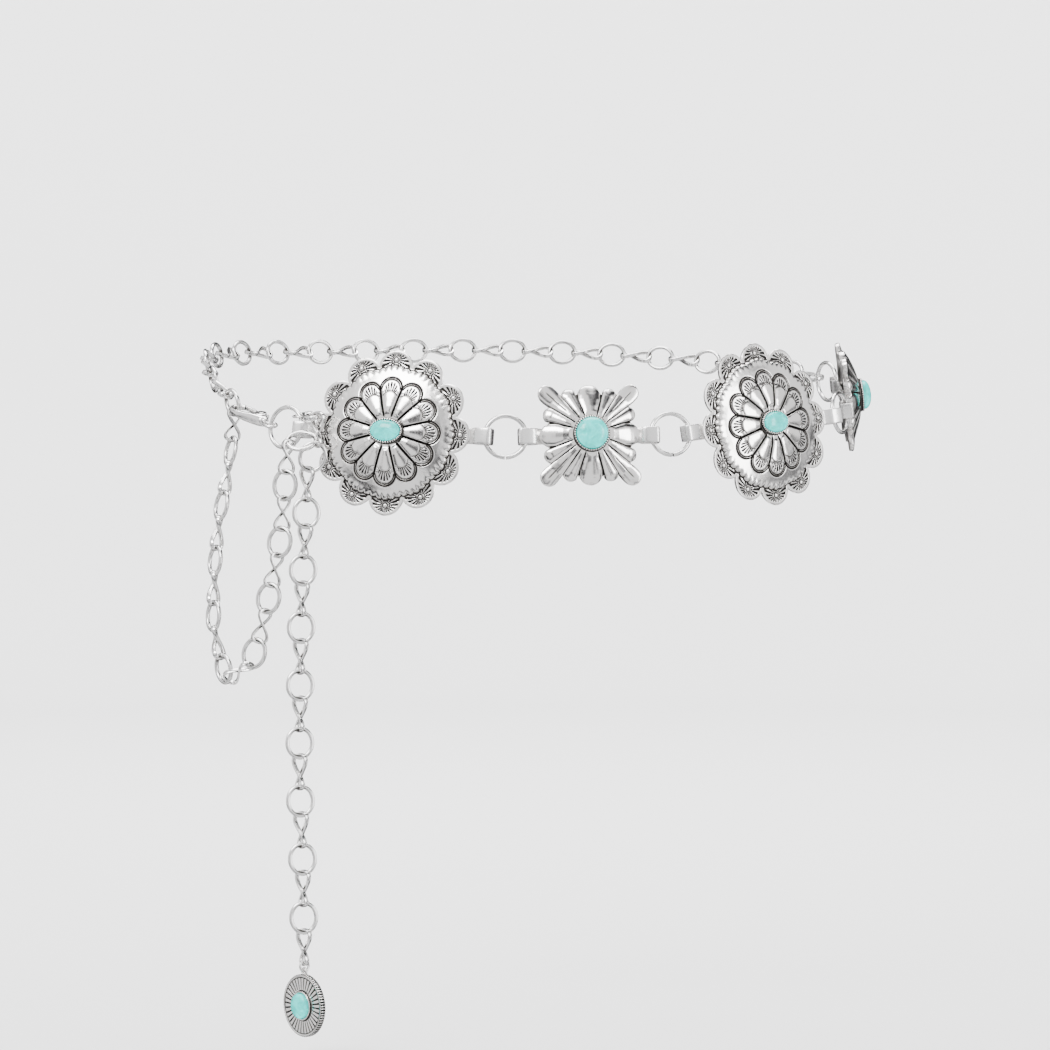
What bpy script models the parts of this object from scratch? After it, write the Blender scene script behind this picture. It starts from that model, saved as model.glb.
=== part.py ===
"""A western concho chain belt, worn: cast conchos on rings, a chain of links and a coin pendant.

Units are metres and +Z is up. The wearer faces -Y, +X is to the right of a viewer in front,
and the origin is the middle of the waist opening. A piece is modelled lying on its own XY plane,
X along the belt, Y up and Z away from the body, and then carried to its place by a matrix.
"""

import math

import bmesh
import bpy
from mathutils import Matrix, Vector

# Waist opening: half an ellipse in front, half a deeper one behind, whose depth is solved
WAIST_HALF_WIDTH = 0.1345
WAIST_FRONT_DEPTH = 0.096
BACK_DEPTH_SHARES = (0.1, 1.6)
BELT_START_ANGLE = -139.8
BELT_LEAN = 6.0
# Heights of the belt round the waist: angle from +X in degrees, height in metres
BELT_HEIGHTS = (
    (-180.0, 0.0132),
    (-159.0, -0.0006),
    (-150.0, -0.0100),
    (-138.0, -0.0172),
    (-115.0, -0.0210),
    (-90.0, -0.0222),
    (-66.0, -0.0210),
    (-45.0, -0.0165),
    (-21.0, -0.0112),
    (-2.0, -0.0025),
    (45.0, 0.0140),
    (90.0, 0.0220),
    (135.0, 0.0200),
)
CURVE_STEPS = 1440
FRONT_ROW = ("ring", "round", "ring", "square", "ring", "round", "ring", "square", "ring")

# Clearances
GAP = 0.0003
LOOP_SLACK = 0.0008
HANG_GAP = 0.0006
LINK_SINK = 0.0002
STONE_GAP = 0.0002

# Rings that join the conchos
RING_RADIUS = 0.00805
RING_WIRE = 0.0017
RING_SIDES = 12
RING_WIRE_SIDES = 5

# Back straps, with a loop folded round a ring at each end
STRAP_HEIGHT = 0.0062
STRAP_THICKNESS = 0.0009
LOOP_CORNER = 0.0009
WELD_DEPTH = 0.0003
PLATE_LIFT = STRAP_THICKNESS / 2 - WELD_DEPTH
ROUND_STRAP_PITCH = 0.0763
SQUARE_STRAP_PITCH = 0.0487

# Round conchos; the table runs from the rim inwards: share of the radius, height
ROUND_RADIUS = 0.0325
ROUND_LOBES = 12
LOBE_CENTRE_SHARE = 0.78
# A lobe's radius over half the distance between two lobes' middles
LOBE_MEET_SHARE = 1.09
LOBE_RADIUS_SHARE = LOBE_CENTRE_SHARE * math.sin(math.pi / ROUND_LOBES) * LOBE_MEET_SHARE
STEPS_PER_LOBE = 3
ROUND_DOME_HEIGHT = 0.0062
ROUND_WALL = 0.0013
ROUND_STEPS = (
    ("rim", 0.975, 0.19),
    ("lobe foot", 0.81, 0.23),
    ("dome edge", 0.775, 0.46),
    ("petals", 0.42, 0.86),
)
# The outline fades from the lobes to a plain circle between these shares of the radius
FADE_START_SHARE = 0.60
FADE_WIDTH_SHARE = 0.35
# Hollow back: its mouth and its floor as shares of the radius
HOLLOW_MOUTH_SHARE = 0.80
HOLLOW_FLOOR_SHARE = 0.34
OVAL_STONE = (0.0060, 0.0040)
OVAL_STONE_HEIGHT = 0.0030

# Square conchos; points of one quarter's petals: angle from a side's axis, reach as a share
SQUARE_HALF_WIDTH = 0.0195
SQUARE_DOME_HEIGHT = 0.0070
SQUARE_WALL = 0.0013
SQUARE_PETALS = (
    (-19.0, 0.81),
    (-8.0, 0.98),
    (8.0, 0.98),
    (19.0, 0.81),
    (27.0, 1.00),
    (39.0, 0.91),
    (42.0, 1.25),
    (48.0, 1.25),
    (51.0, 0.91),
    (63.0, 1.00),
)
SQUARE_INNER_SHARE = 0.90
SQUARE_STEPS = (
    ("rim", 0.97, 0.17),
    ("petal backs", 0.76, 0.48),
)
ROUND_STONE = (0.0060, 0.0060)
ROUND_STONE_HEIGHT = 0.0045

# Bezels
BEZEL_WALL = 0.0008
BEZEL_FOOT = 0.0006
BEZEL_HEIGHT = 0.0018
BEZEL_SEAT = 0.0004

# Cabochons; rows from the base up: share of the half width, share of the height
STONE_SIDES = 12
STONE_ROWS = ((1.0, 0.0), (1.0, 0.42), (0.74, 0.84))

# Chain links; a pitch runs between the inner faces of a link's two ends
OVAL_PITCH = 0.0098
OVAL_WIDTH = 0.0112
OVAL_WIRE = 0.0016
OVAL_SIDES = 10
EIGHT_PITCH = 0.0126
EIGHT_WIDTH = 0.0064
EIGHT_THICKNESS = 0.0009
EIGHT_DEPTH = 0.0018
EIGHT_SIDES = 10
WIRE_SIDES = 5
OVAL_TURN = 8.0
EIGHT_TURN = 62.0
WAIST_PAIRS = 17
SWAG_PAIRS = 9
TAIL_PAIRS = 9

# Clasps: overall sizes in metres
CLASP_1 = {
    "length": 0.0250,
    "half_width": 0.0034,
    "wire": 0.0024,
    "thickness": 0.0046,
    "eye_hole": 0.0015,
    "eye_wire": 0.0013,
    "neck": 0.0018,
    "roll": 75.0,
}
CLASP_2 = {
    "length": 0.0142,
    "half_width": 0.0030,
    "wire": 0.0015,
    "thickness": 0.0034,
    "eye_hole": 0.0021,
    "eye_wire": 0.0009,
    "neck": 0.0008,
    "roll": 12.0,
}
# Middle line of a clasp's body: shares of the length and half width, half sizes in wires and thicknesses
CLASP_SPINE = (
    (0.14, 0.00, 0.55, 0.34),
    (0.20, 0.00, 1.00, 0.48),
    (0.34, 0.30, 0.95, 0.50),
    (0.48, 0.72, 0.66, 0.44),
    (0.64, 1.00, 0.56, 0.36),
    (0.80, 1.02, 0.50, 0.30),
    (0.915, 0.72, 0.48, 0.28),
    (0.945, 0.00, 0.46, 0.26),
    (0.905, -0.62, 0.46, 0.26),
    (0.845, -0.92, 0.42, 0.24),
)
CLAW_END = 7
# Middle line of a lever from its pivot: shares of the length and half width, half size in wires
CLASP_GATE = (
    (0.34, -0.46, 0.42),
    (0.50, -0.86, 0.40),
    (0.66, -1.00, 0.36),
)
# Shares of the wire
KNUCKLE_SHARE = 0.62
CHEEK_SHARE = 0.90
NECK_SHARE = 1.2
LEVER_TIP_SHARE = 0.30
LEVER_TIP_GAP_SHARE = 0.28
# Shares of the thickness
LEVER_SHARE = 0.24
CHEEK_DEPTH_SHARE = 0.49
PIN_SHARE = 0.46
# Shares of the length and half width; the last column is a half size in wires
SEAT_END_SHARE = 0.80
THUMB = (
    (0.00, 0.00, 0.30),
    (-0.05, -0.425, 0.26),
    (-0.10, -0.85, 0.22),
)
KNUCKLE_WALL = 0.0005
# Width of a cheek where it goes into the claw, as a share of its width at the pin
CHEEK_ROOT_SHARE = 0.8
# Shares of the lever's depth
KNUCKLE_DEPTH_SHARE = 0.95
THUMB_DEPTH_SHARE = 0.85
CLASP_SIDES = 6
EYE_SIDES = 10
EYE_WIRE_SIDES = 5
PIVOT_SIDES = 10
CHEEK_SIDES = 5
PIN_SIDES = 8

# The small clasp: where it hangs on the left ring, where it points and what it faces
CLASP_2_RING_ANGLE = 42.0
CLASP_2_AIM = (0.95, 0.03, 0.30)
CLASP_2_FACE_TURN = 51.0
CLASP_2_HOLD_SHIFT = 0.0001

# Routes of the hanging chain, chosen points in metres
SWAG_ROUTE = (
    (-0.1200, -0.0520, -0.0300),
    (-0.1240, -0.0545, -0.0535),
    (-0.1256, -0.0580, -0.0763),
    (-0.1248, -0.0635, -0.0992),
    (-0.1165, -0.0725, -0.1190),
    (-0.1072, -0.0770, -0.1040),
    (-0.1018, -0.0780, -0.0822),
    (-0.0975, -0.0770, -0.0600),
    (-0.0958, -0.0765, -0.0385),
)
TAIL_ROUTE = (
    (-0.0866, -0.0800, -0.0300),
    (-0.0872, -0.0810, -0.0520),
    (-0.0886, -0.0830, -0.0780),
    (-0.0892, -0.0850, -0.1080),
    (-0.0890, -0.0910, -0.1525),
    (-0.0874, -0.0965, -0.1900),
    (-0.0863, -0.1005, -0.2400),
)
TAIL_FACE_TURN = -14.0
# The swag's last oval: its end in the held link, its pull and its face
SIDE_OVAL_END = (-0.0044, 0.00162, 0.0)
SIDE_OVAL_PULL = (-1.0, 0.10, 0.0)
SIDE_OVAL_FACE = (0.0, -0.72, 0.70)

# Pendant
JUMP_RING_RADIUS = 0.0020
JUMP_RING_WIRE = 0.0009
JUMP_RING_SIDES = 10
DISC_RADIUS = 0.0120
DISC_THICKNESS = 0.0024
DISC_FLUTES = 10
DISC_FLUTE_DEPTH = 0.0004
DISC_FIELD_SHARE = 0.90
DISC_FIELD_DEPTH = 0.0005
DISC_BEZEL_RISE = 0.0008
DISC_EYE_RADIUS = 0.00125
DISC_EYE_WIRE = 0.0009
PENDANT_STONE = (0.0048, 0.0048)
PENDANT_STONE_HEIGHT = 0.0030


def new_material(name, colour, roughness, metallic):
    material = bpy.data.materials.new(name)
    material.use_nodes = True
    shader = material.node_tree.nodes["Principled BSDF"]
    shader.inputs["Base Color"].default_value = (*colour, 1.0)
    shader.inputs["Roughness"].default_value = roughness
    shader.inputs["Metallic"].default_value = metallic
    return material


def silver(name):
    return new_material(name + "_silver", (0.72, 0.71, 0.69), 0.3, 1.0)


def turquoise(name):
    return new_material(name + "_turquoise", (0.30, 0.66, 0.62), 0.35, 0.0)


def mesh_object(name, vertices, faces, hidden=False):
    """An object from points and faces, whose faces all point outwards."""
    mesh = bpy.data.meshes.new(name)
    mesh.from_pydata([tuple(point) for point in vertices], [], faces)
    shape = bmesh.new()
    shape.from_mesh(mesh)
    bmesh.ops.recalc_face_normals(shape, faces=shape.faces)
    shape.to_mesh(mesh)
    shape.free()
    obj = bpy.data.objects.new(name, mesh)
    bpy.context.scene.collection.objects.link(obj)
    if hidden:
        obj.hide_render = True
        obj.display_type = "WIRE"
    return obj


def boolean(obj, other, operation):
    modifier = obj.modifiers.new(operation.lower() + "_" + other.name, "BOOLEAN")
    modifier.operation = operation
    modifier.solver = "EXACT"
    modifier.object = other


def finish(obj, material, matrix=None):
    """Gives a piece its material, its place and smooth round faces."""
    obj.data.materials.append(material)
    if matrix is not None:
        obj.matrix_world = matrix
    obj.data.shade_smooth()
    obj.data.set_sharp_from_angle(angle=math.radians(40))
    return obj


def ring_stack(indices, closed):
    """Faces between successive rows of point indices, all of one length."""
    faces = []
    count = len(indices)
    for i in range(count if closed else count - 1):
        low = indices[i]
        high = indices[(i + 1) % count]
        for j in range(len(low)):
            k = (j + 1) % len(low)
            faces.append((low[j], low[k], high[k], high[j]))
    return faces


def stacked(rows, closed=False):
    """Points and faces of a body whose skin runs through rows of points, with flat ends unless closed."""
    count = len(rows[0])
    indices = [range(i * count, (i + 1) * count) for i in range(len(rows))]
    faces = ring_stack(indices, closed)
    if not closed:
        faces += [tuple(indices[0]), tuple(indices[-1])]
    return [point for row in rows for point in row], faces


def swept(points, halves_across, halves_deep, sides, closed):
    """Points and faces of a bar along a path that lies near its XY plane: across lies in that plane."""
    rows = []
    count = len(points)
    for i, point in enumerate(points):
        if closed:
            tangent = points[(i + 1) % count] - points[i - 1]
        else:
            tangent = points[min(i + 1, count - 1)] - points[max(i - 1, 0)]
        across = tangent.cross(Vector((0, 0, 1))).normalized()
        deep = across.cross(tangent).normalized()
        row = []
        for j in range(sides):
            angle = 2 * math.pi * (j + 0.5) / sides
            offset = across * math.cos(angle) * halves_across[i]
            row.append(point + offset + deep * math.sin(angle) * halves_deep[i])
        rows.append(row)
    return stacked(rows, closed)


def box(low, high):
    """Points and faces of a box between two corners."""
    vertices = [
        Vector((x, y, z))
        for x in (low[0], high[0])
        for y in (low[1], high[1])
        for z in (low[2], high[2])
    ]
    faces = [(0, 1, 3, 2), (4, 6, 7, 5), (0, 4, 5, 1), (2, 3, 7, 6), (0, 2, 6, 4), (1, 5, 7, 3)]
    return vertices, faces


def prism(outline, low, high):
    """Points and faces of a flat outline raised from one height to another."""
    rows = [[Vector((x, y, z)) for x, y in outline] for z in (low, high)]
    count = len(outline)
    faces = [tuple(range(count)), tuple(range(count, 2 * count))]
    for j in range(count):
        k = (j + 1) % count
        faces.append((j, k, count + k, count + j))
    return rows[0] + rows[1], faces


def circle(centre, radius, sides):
    turns = (2 * math.pi * i / sides for i in range(sides))
    return [(centre[0] + radius * math.cos(t), centre[1] + radius * math.sin(t)) for t in turns]


def moved(shape, shift):
    points, faces = shape
    return [point + shift for point in points], faces


def hoop(radius, halves, sides, wire_sides):
    """Points and faces of a closed round bar whose wire has the given half size."""
    points = [Vector((x, y, 0)) for x, y in circle((0, 0), radius, sides)]
    return swept(points, [halves] * sides, [halves] * sides, wire_sides, True)


def frame_matrix(centre, along, face):
    """A matrix whose X is along, whose Z is as near to face as it can be."""
    x = along.normalized()
    z = (face - x * face.dot(x)).normalized()
    y = z.cross(x)
    matrix = Matrix((x, y, z)).transposed().to_4x4()
    matrix.translation = centre
    return matrix


def turned(direction, axis, degrees):
    return Matrix.Rotation(math.radians(degrees), 3, axis) @ direction


# Paths round the waist


def belt_height(angle):
    """Height of the belt at an angle in degrees, a smooth curve through BELT_HEIGHTS."""
    table = [(a - 360.0, h) for a, h in BELT_HEIGHTS] + list(BELT_HEIGHTS)
    table += [(a + 360.0, h) for a, h in BELT_HEIGHTS]
    i = max(k for k in range(len(table)) if table[k][0] <= angle)
    before, start, end, after = table[i - 1], table[i], table[i + 1], table[i + 2]
    width = end[0] - start[0]
    share = (angle - start[0]) / width
    slope_start = (end[1] - before[1]) / (end[0] - before[0]) * width
    slope_end = (after[1] - start[1]) / (after[0] - start[0]) * width
    square, cube = share**2, share**3
    return (
        (2 * cube - 3 * square + 1) * start[1]
        + (cube - 2 * square + share) * slope_start
        + (3 * square - 2 * cube) * end[1]
        + (cube - square) * slope_end
    )


def waist_curve(back_depth):
    """Points once round the waist, from the belt's left ring."""
    points = []
    for i in range(CURVE_STEPS + 1):
        angle = BELT_START_ANGLE + 360.0 * i / CURVE_STEPS
        turn = math.radians(angle)
        depth = WAIST_FRONT_DEPTH if math.sin(turn) < 0 else back_depth
        place = (WAIST_HALF_WIDTH * math.cos(turn), depth * math.sin(turn))
        points.append(Vector((*place, belt_height(angle if angle < 180 else angle - 360))))
    return points


def smooth_curve(points, steps=24):
    """Points of a Catmull-Rom curve through the given ones."""
    padded = [2 * points[0] - points[1], *points, 2 * points[-1] - points[-2]]
    curve = []
    for i in range(1, len(padded) - 2):
        a, b, c, d = padded[i - 1 : i + 3]
        for j in range(steps):
            t = j / steps
            curve.append(
                0.5
                * (
                    2 * b
                    + (c - a) * t
                    + (2 * a - 5 * b + 4 * c - d) * t**2
                    + (3 * b - a - 3 * c + d) * t**3
                )
            )
    curve.append(points[-1])
    return curve


def walk(curve, lengths):
    """Points along a curve that lie the given straight distances apart, and the last one's way along it."""
    places = [curve[0]]
    at = 0
    share = 0.0
    for length in lengths:
        start = places[-1]
        while at < len(curve) - 2 and (curve[at + 1] - start).length < length:
            at += 1
        side = curve[at + 1] - curve[at]
        back = curve[at] - start
        half = back.dot(side)
        root = half**2 - side.length_squared * (back.length_squared - length**2)
        share = (-half + math.sqrt(max(root, 0.0))) / side.length_squared
        places.append(curve[at] + side * share)
    way = sum((b - a).length for a, b in zip(curve[:at], curve[1 : at + 1]))
    return places, way + (curve[at + 1] - curve[at]).length * share


def bisect(fault, low, high, steps=40):
    """The value between low and high at which a rising fault is zero."""
    for _ in range(steps):
        middle = (low + high) / 2
        if fault(middle) > 0:
            high = middle
        else:
            low = middle
    return (low + high) / 2


# Conchos


def lobed_radius(turn):
    """Outline of a round concho, as a share of its radius: a ring of round lobes."""
    span = 2 * math.pi / ROUND_LOBES
    phase = (turn + span / 2) % span - span / 2
    side = LOBE_CENTRE_SHARE * math.sin(phase)
    return LOBE_CENTRE_SHARE * math.cos(phase) + math.sqrt(LOBE_RADIUS_SHARE**2 - side**2)


def round_turns():
    """Angles of a round concho's outline points, a valley at each lobe's start."""
    count = ROUND_LOBES * STEPS_PER_LOBE
    return [2 * math.pi * (i - STEPS_PER_LOBE / 2) / count for i in range(count)]


def square_outline():
    """Angle and reach of each point round a square concho, from the table of one quarter."""
    return [(math.radians(90.0 * q + a), reach) for q in range(4) for a, reach in SQUARE_PETALS]


def oval_row(turns, halves, level):
    return [Vector((halves[0] * math.cos(t), halves[1] * math.sin(t), level)) for t in turns]


def concho_mesh(outline, steps, sizes, stone_halves):
    """A cast dome with a raised bezel on top and a hollow back; the outline is (angle, reach) pairs."""
    radius, inner, dome = sizes["radius"], sizes["inner"], sizes["dome"]
    turns = [t for t, _ in outline]
    rows = []
    for share, level in ((HOLLOW_FLOOR_SHARE, dome - sizes["wall"]), (HOLLOW_MOUTH_SHARE, 0.0)):
        reach = radius * share * inner
        rows.append(oval_row(turns, (reach, reach), level))
    for share, height in ((1.0, 0.0), *((share, height) for _, share, height in steps)):
        fade = max(0.0, min(1.0, (share - FADE_START_SHARE) / FADE_WIDTH_SHARE))
        row = []
        for t, r in outline:
            reach = radius * share * (r * fade + inner * (1 - fade))
            row.append(Vector((reach * math.cos(t), reach * math.sin(t), dome * height)))
        rows.append(row)
    top = dome + BEZEL_HEIGHT
    for grow, level in (
        (BEZEL_WALL + BEZEL_FOOT, dome),
        (BEZEL_WALL, top),
        (0.0, top),
        (0.0, dome + BEZEL_SEAT),
    ):
        rows.append(oval_row(turns, [half + STONE_GAP + grow for half in stone_halves], level))
    return stacked(rows)


def strap(name, pitch):
    """A back strap, centred on its pieces' line, with a folded loop round a ring's wire at each end."""
    wire = RING_WIRE / 2
    sag = RING_RADIUS - math.sqrt(RING_RADIUS**2 - (STRAP_HEIGHT / 2) ** 2)
    reach = pitch / 2 + wire + sag + 3 * GAP
    inner = pitch / 2 - wire - GAP - LOOP_SLACK
    half = wire + GAP + LOOP_SLACK
    thick = STRAP_THICKNESS
    tip = reach + thick
    heel = inner - thick
    outer = half + thick
    corner = LOOP_CORNER
    top = STRAP_HEIGHT / 2
    right = [
        (heel - 2 * corner, thick / 2),
        (heel, outer),
        (tip - corner, outer),
        (tip, outer - corner),
        (tip, corner - outer),
        (tip - corner, -outer),
        (heel, -outer),
        (heel - 2 * corner, -thick / 2),
    ]
    outline = right + [(-x, -z) for x, z in right]
    vertices, faces = prism(outline, -top, top)
    upright = [Vector((p.x, -p.z, p.y)) for p in vertices]
    body = mesh_object(name + "_strap", upright, faces, hidden=True)
    for side in (-1, 1):
        low, high = sorted((side * inner, side * reach))
        vertices, faces = box((low, -top - thick, -half), (high, top + thick, half))
        hole = mesh_object(f"{name}_loop_hole_{side}", vertices, faces, hidden=True)
        boolean(body, hole, "DIFFERENCE")
    return body


def concho(name, outline, steps, sizes, stone_halves, pitch, matrix):
    """A cast concho soldered to its back strap, both carried to the same place."""
    vertices, faces = concho_mesh(outline, steps, sizes, stone_halves)
    plate = mesh_object(name, [point + Vector((0, 0, PLATE_LIFT)) for point in vertices], faces)
    finish(plate, silver(name), matrix)
    back_strap = strap(name, pitch)
    back_strap.matrix_world = matrix
    for modifier in back_strap.modifiers:
        modifier.object.matrix_world = matrix
    boolean(plate, back_strap, "UNION")


def round_concho(number, matrix):
    outline = [(t, lobed_radius(t)) for t in round_turns()]
    sizes = {"radius": ROUND_RADIUS, "inner": 1.0, "dome": ROUND_DOME_HEIGHT, "wall": ROUND_WALL}
    name = f"concho_round_{number}"
    concho(name, outline, ROUND_STEPS, sizes, OVAL_STONE, ROUND_STRAP_PITCH, matrix)
    base = PLATE_LIFT + ROUND_DOME_HEIGHT + BEZEL_SEAT + STONE_GAP
    stone(f"stone_round_{number}", OVAL_STONE, OVAL_STONE_HEIGHT, base, matrix)


def square_concho(number, matrix):
    sizes = {
        "radius": SQUARE_HALF_WIDTH,
        "inner": SQUARE_INNER_SHARE,
        "dome": SQUARE_DOME_HEIGHT,
        "wall": SQUARE_WALL,
    }
    name = f"concho_square_{number}"
    concho(name, square_outline(), SQUARE_STEPS, sizes, ROUND_STONE, SQUARE_STRAP_PITCH, matrix)
    base = PLATE_LIFT + SQUARE_DOME_HEIGHT + BEZEL_SEAT + STONE_GAP
    stone(f"stone_square_{number}", ROUND_STONE, ROUND_STONE_HEIGHT, base, matrix)


def stone(name, halves, height, base, matrix):
    """A cabochon: a short upright wall and a dome above it."""
    turns = [2 * math.pi * i / STONE_SIDES for i in range(STONE_SIDES)]
    rows = []
    for share, level in STONE_ROWS:
        rows.append(oval_row(turns, [half * share for half in halves], base + height * level))
    vertices, faces = stacked(rows)
    last = faces.pop()
    vertices.append(Vector((0, 0, base + height)))
    faces += [(last[j - 1], last[j], len(vertices) - 1) for j in range(STONE_SIDES)]
    finish(mesh_object(name, vertices, faces), turquoise(name), matrix)


def ring(name, matrix, radius, wire, sides):
    vertices, faces = hoop(radius, wire / 2, sides, RING_WIRE_SIDES)
    finish(mesh_object(name, vertices, faces), silver(name), matrix)


# Chain links


def oval_link():
    """An oval of round wire, its long axis along X."""
    step = 2 * math.pi / OVAL_SIDES
    half = ((OVAL_PITCH + OVAL_WIRE) / 2 - LINK_SINK / 2) / math.cos(step / 2)
    across = (OVAL_WIDTH - OVAL_WIRE) / 2
    turns = [step * (i + 0.5) for i in range(OVAL_SIDES)]
    points = [Vector((half * math.cos(t), across * math.sin(t), 0)) for t in turns]
    halves = [OVAL_WIRE / 2] * OVAL_SIDES
    return swept(points, halves, halves, WIRE_SIDES, True)


def eight_link():
    """A figure of eight of flat wire, whose two strands pass each other in the middle."""
    step = 2 * math.pi / EIGHT_SIDES
    half = ((EIGHT_PITCH + EIGHT_THICKNESS) / 2 - LINK_SINK / 2) / math.cos(step / 2)
    across = (EIGHT_WIDTH - EIGHT_THICKNESS) / 2
    lift = EIGHT_DEPTH / 2 + LINK_SINK
    points = []
    for i in range(EIGHT_SIDES):
        t = step * (i + 0.5)
        points.append(Vector((half * math.cos(t), across * math.sin(2 * t), lift * math.sin(t))))
    thin = [EIGHT_THICKNESS / 2] * EIGHT_SIDES
    deep = [EIGHT_DEPTH / 2] * EIGHT_SIDES
    return swept(points, thin, deep, WIRE_SIDES, True)


def joined(links, name, hidden):
    """One object of many link shapes, each a (points, faces) pair with its matrix."""
    vertices = []
    faces = []
    for (points, sides), matrix in links:
        first = len(vertices)
        vertices += [matrix @ point for point in points]
        faces += [tuple(first + i for i in side) for side in sides]
    return mesh_object(name, vertices, faces, hidden)


def link_matrix(start, end, pitch, face, turn):
    """Places a link so that its far inner end is at end, with its face turned about its length."""
    along = (end - start).normalized()
    return frame_matrix(end - along * pitch / 2, along, turned(face, along, turn))


def chain(name, ovals, eights):
    obj = joined(ovals, name, False)
    boolean(obj, joined(eights, name + "_eights", True), "UNION")
    return finish(obj, silver(name))


# Clasps


def clasp_reach(size):
    """Distance from the eye's middle to the inner face of the claw's end."""
    along, _, half, _ = CLASP_SPINE[CLAW_END]
    return size["length"] * along - size["wire"] * half


def clasp_points(size, table):
    return [Vector((row[0] * size["length"], row[1] * size["half_width"], 0)) for row in table]


def cheek_outline(pivot, radius, root):
    """Outline of a cheek of the fork: round about the pin, and narrower where it goes into the claw."""
    turns = [math.pi * (1 + i / CHEEK_SIDES) for i in range(CHEEK_SIDES + 1)]
    low = [(pivot.x + radius * math.cos(t), pivot.y + radius * math.sin(t)) for t in turns]
    half = radius * CHEEK_ROOT_SHARE
    return low + [(pivot.x + half, root), (pivot.x - half, root)]


def clasp_body(name, size, matrix, pivot, knuckle, pin):
    """The claw with its eye, its neck, the lever's seat, the cheeks that hold it and the pin."""
    wire, thick = size["wire"], size["thickness"]
    across = [wire * a for _, _, a, _ in CLASP_SPINE]
    deep = [thick * b for _, _, _, b in CLASP_SPINE]
    spine = clasp_points(size, CLASP_SPINE)
    body = mesh_object(name + "_body", *swept(spine, across, deep, CLASP_SIDES, False))

    eye_half = size["eye_wire"] / 2
    eye_radius = size["eye_hole"] + eye_half
    neck_path = [Vector((eye_radius, 0, 0)), Vector((eye_radius + size["neck"], 0, 0))]
    neck_halves = [eye_half * NECK_SHARE] * 2
    seat_low = (pivot.x - knuckle - 3 * GAP, pivot.y - 2 * knuckle, -thick)
    seat_high = (SEAT_END_SHARE * size["length"], pivot.y + knuckle + 2 * GAP, thick)
    root = next(point.y for point in spine if point.x >= pivot.x)
    cheek = cheek_outline(pivot, CHEEK_SHARE * wire, root)
    cheek_low = thick * LEVER_SHARE + GAP
    cheek_high = thick * CHEEK_DEPTH_SHARE
    pin_half = thick * PIN_SHARE
    for tool, shape, operation in (
        ("seat", box(seat_low, seat_high), "DIFFERENCE"),
        ("eye", hoop(eye_radius, eye_half, EYE_SIDES, EYE_WIRE_SIDES), "UNION"),
        ("neck", swept(neck_path, neck_halves, neck_halves, CLASP_SIDES, False), "UNION"),
        ("front_cheek", prism(cheek, cheek_low, cheek_high), "UNION"),
        ("back_cheek", prism(cheek, -cheek_high, -cheek_low), "UNION"),
        ("pin", prism(circle(pivot, pin, PIN_SIDES), -pin_half, pin_half), "UNION"),
    ):
        cutter = mesh_object(f"{name}_{tool}", *shape, hidden=True)
        cutter.matrix_world = matrix
        boolean(body, cutter, operation)
    finish(body, silver(name + "_body"), matrix)


def clasp_lever(name, size, matrix, pivot, knuckle, pin):
    """The lever that closes the claw, with its thumb piece and the knuckle round the pin.

    Its origin is on its axis, the pin's.
    """
    wire, length, wide = size["wire"], size["length"], size["half_width"]
    lever_half = size["thickness"] * LEVER_SHARE
    path = clasp_points(size, CLASP_GATE)
    claw_tip = clasp_points(size, CLASP_SPINE)[-1]
    last = claw_tip - path[-1]
    path.append(claw_tip - last.normalized() * (GAP + LEVER_TIP_GAP_SHARE * wire))
    across = [wire * a for _, _, a in CLASP_GATE] + [wire * LEVER_TIP_SHARE]
    arm = swept(path, across, [lever_half] * len(path), CLASP_SIDES, False)
    lever = mesh_object(name + "_lever", *moved(arm, -pivot))
    place = matrix @ Matrix.Translation(pivot)
    foot = path[0].lerp(path[1], 0.5)
    thumb_path = [foot + Vector((x * length, y * wide, 0)) for x, y, _ in THUMB]
    thumb_across = [wire * a for _, _, a in THUMB]
    thumb_deep = [lever_half * THUMB_DEPTH_SHARE] * len(THUMB)
    bore_outline = circle(pivot, pin + GAP, PIVOT_SIDES)
    knuckle_half = lever_half * KNUCKLE_DEPTH_SHARE
    for tool, shape, operation in (
        ("knuckle", prism(circle(pivot, knuckle, PIVOT_SIDES), -knuckle_half, knuckle_half), "UNION"),
        ("thumb", swept(thumb_path, thumb_across, thumb_deep, CLASP_SIDES, False), "UNION"),
        ("bore", prism(bore_outline, -size["thickness"], size["thickness"]), "DIFFERENCE"),
    ):
        cutter = mesh_object(f"{name}_{tool}", *moved(shape, -pivot), hidden=True)
        cutter.matrix_world = place
        boolean(lever, cutter, operation)
    finish(lever, silver(name + "_lever"), place)


def clasp(name, size, matrix):
    """A lobster clasp: its body and, on a pin, the lever that closes its claw."""
    pivot = clasp_points(size, CLASP_GATE)[0]
    knuckle = size["wire"] * KNUCKLE_SHARE
    pin = knuckle - KNUCKLE_WALL - GAP
    clasp_body(name, size, matrix, pivot, knuckle, pin)
    clasp_lever(name, size, matrix, pivot, knuckle, pin)


# The belt


def bar_lengths():
    """Straight distances round the waist: along the front's pieces, then along the chain's links."""
    pitch = {"ring": 2 * RING_RADIUS, "round": ROUND_STRAP_PITCH, "square": SQUARE_STRAP_PITCH}
    first = EIGHT_PITCH - RING_WIRE / 2 - GAP
    links = [first, OVAL_PITCH] + [EIGHT_PITCH, OVAL_PITCH] * (WAIST_PAIRS - 1)
    return [pitch[kind] for kind in FRONT_ROW], links


def closing_gap(back_depth):
    """How much further the last link lies from the left ring than the clasp reaches."""
    bars, links = bar_lengths()
    curve = waist_curve(back_depth)
    places, way = walk(curve, bars + links)
    left = sum((b - a).length for a, b in zip(curve, curve[1:])) - way
    return math.copysign((places[-1] - places[0]).length, left) - clasp_reach(CLASP_1) + GAP


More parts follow.
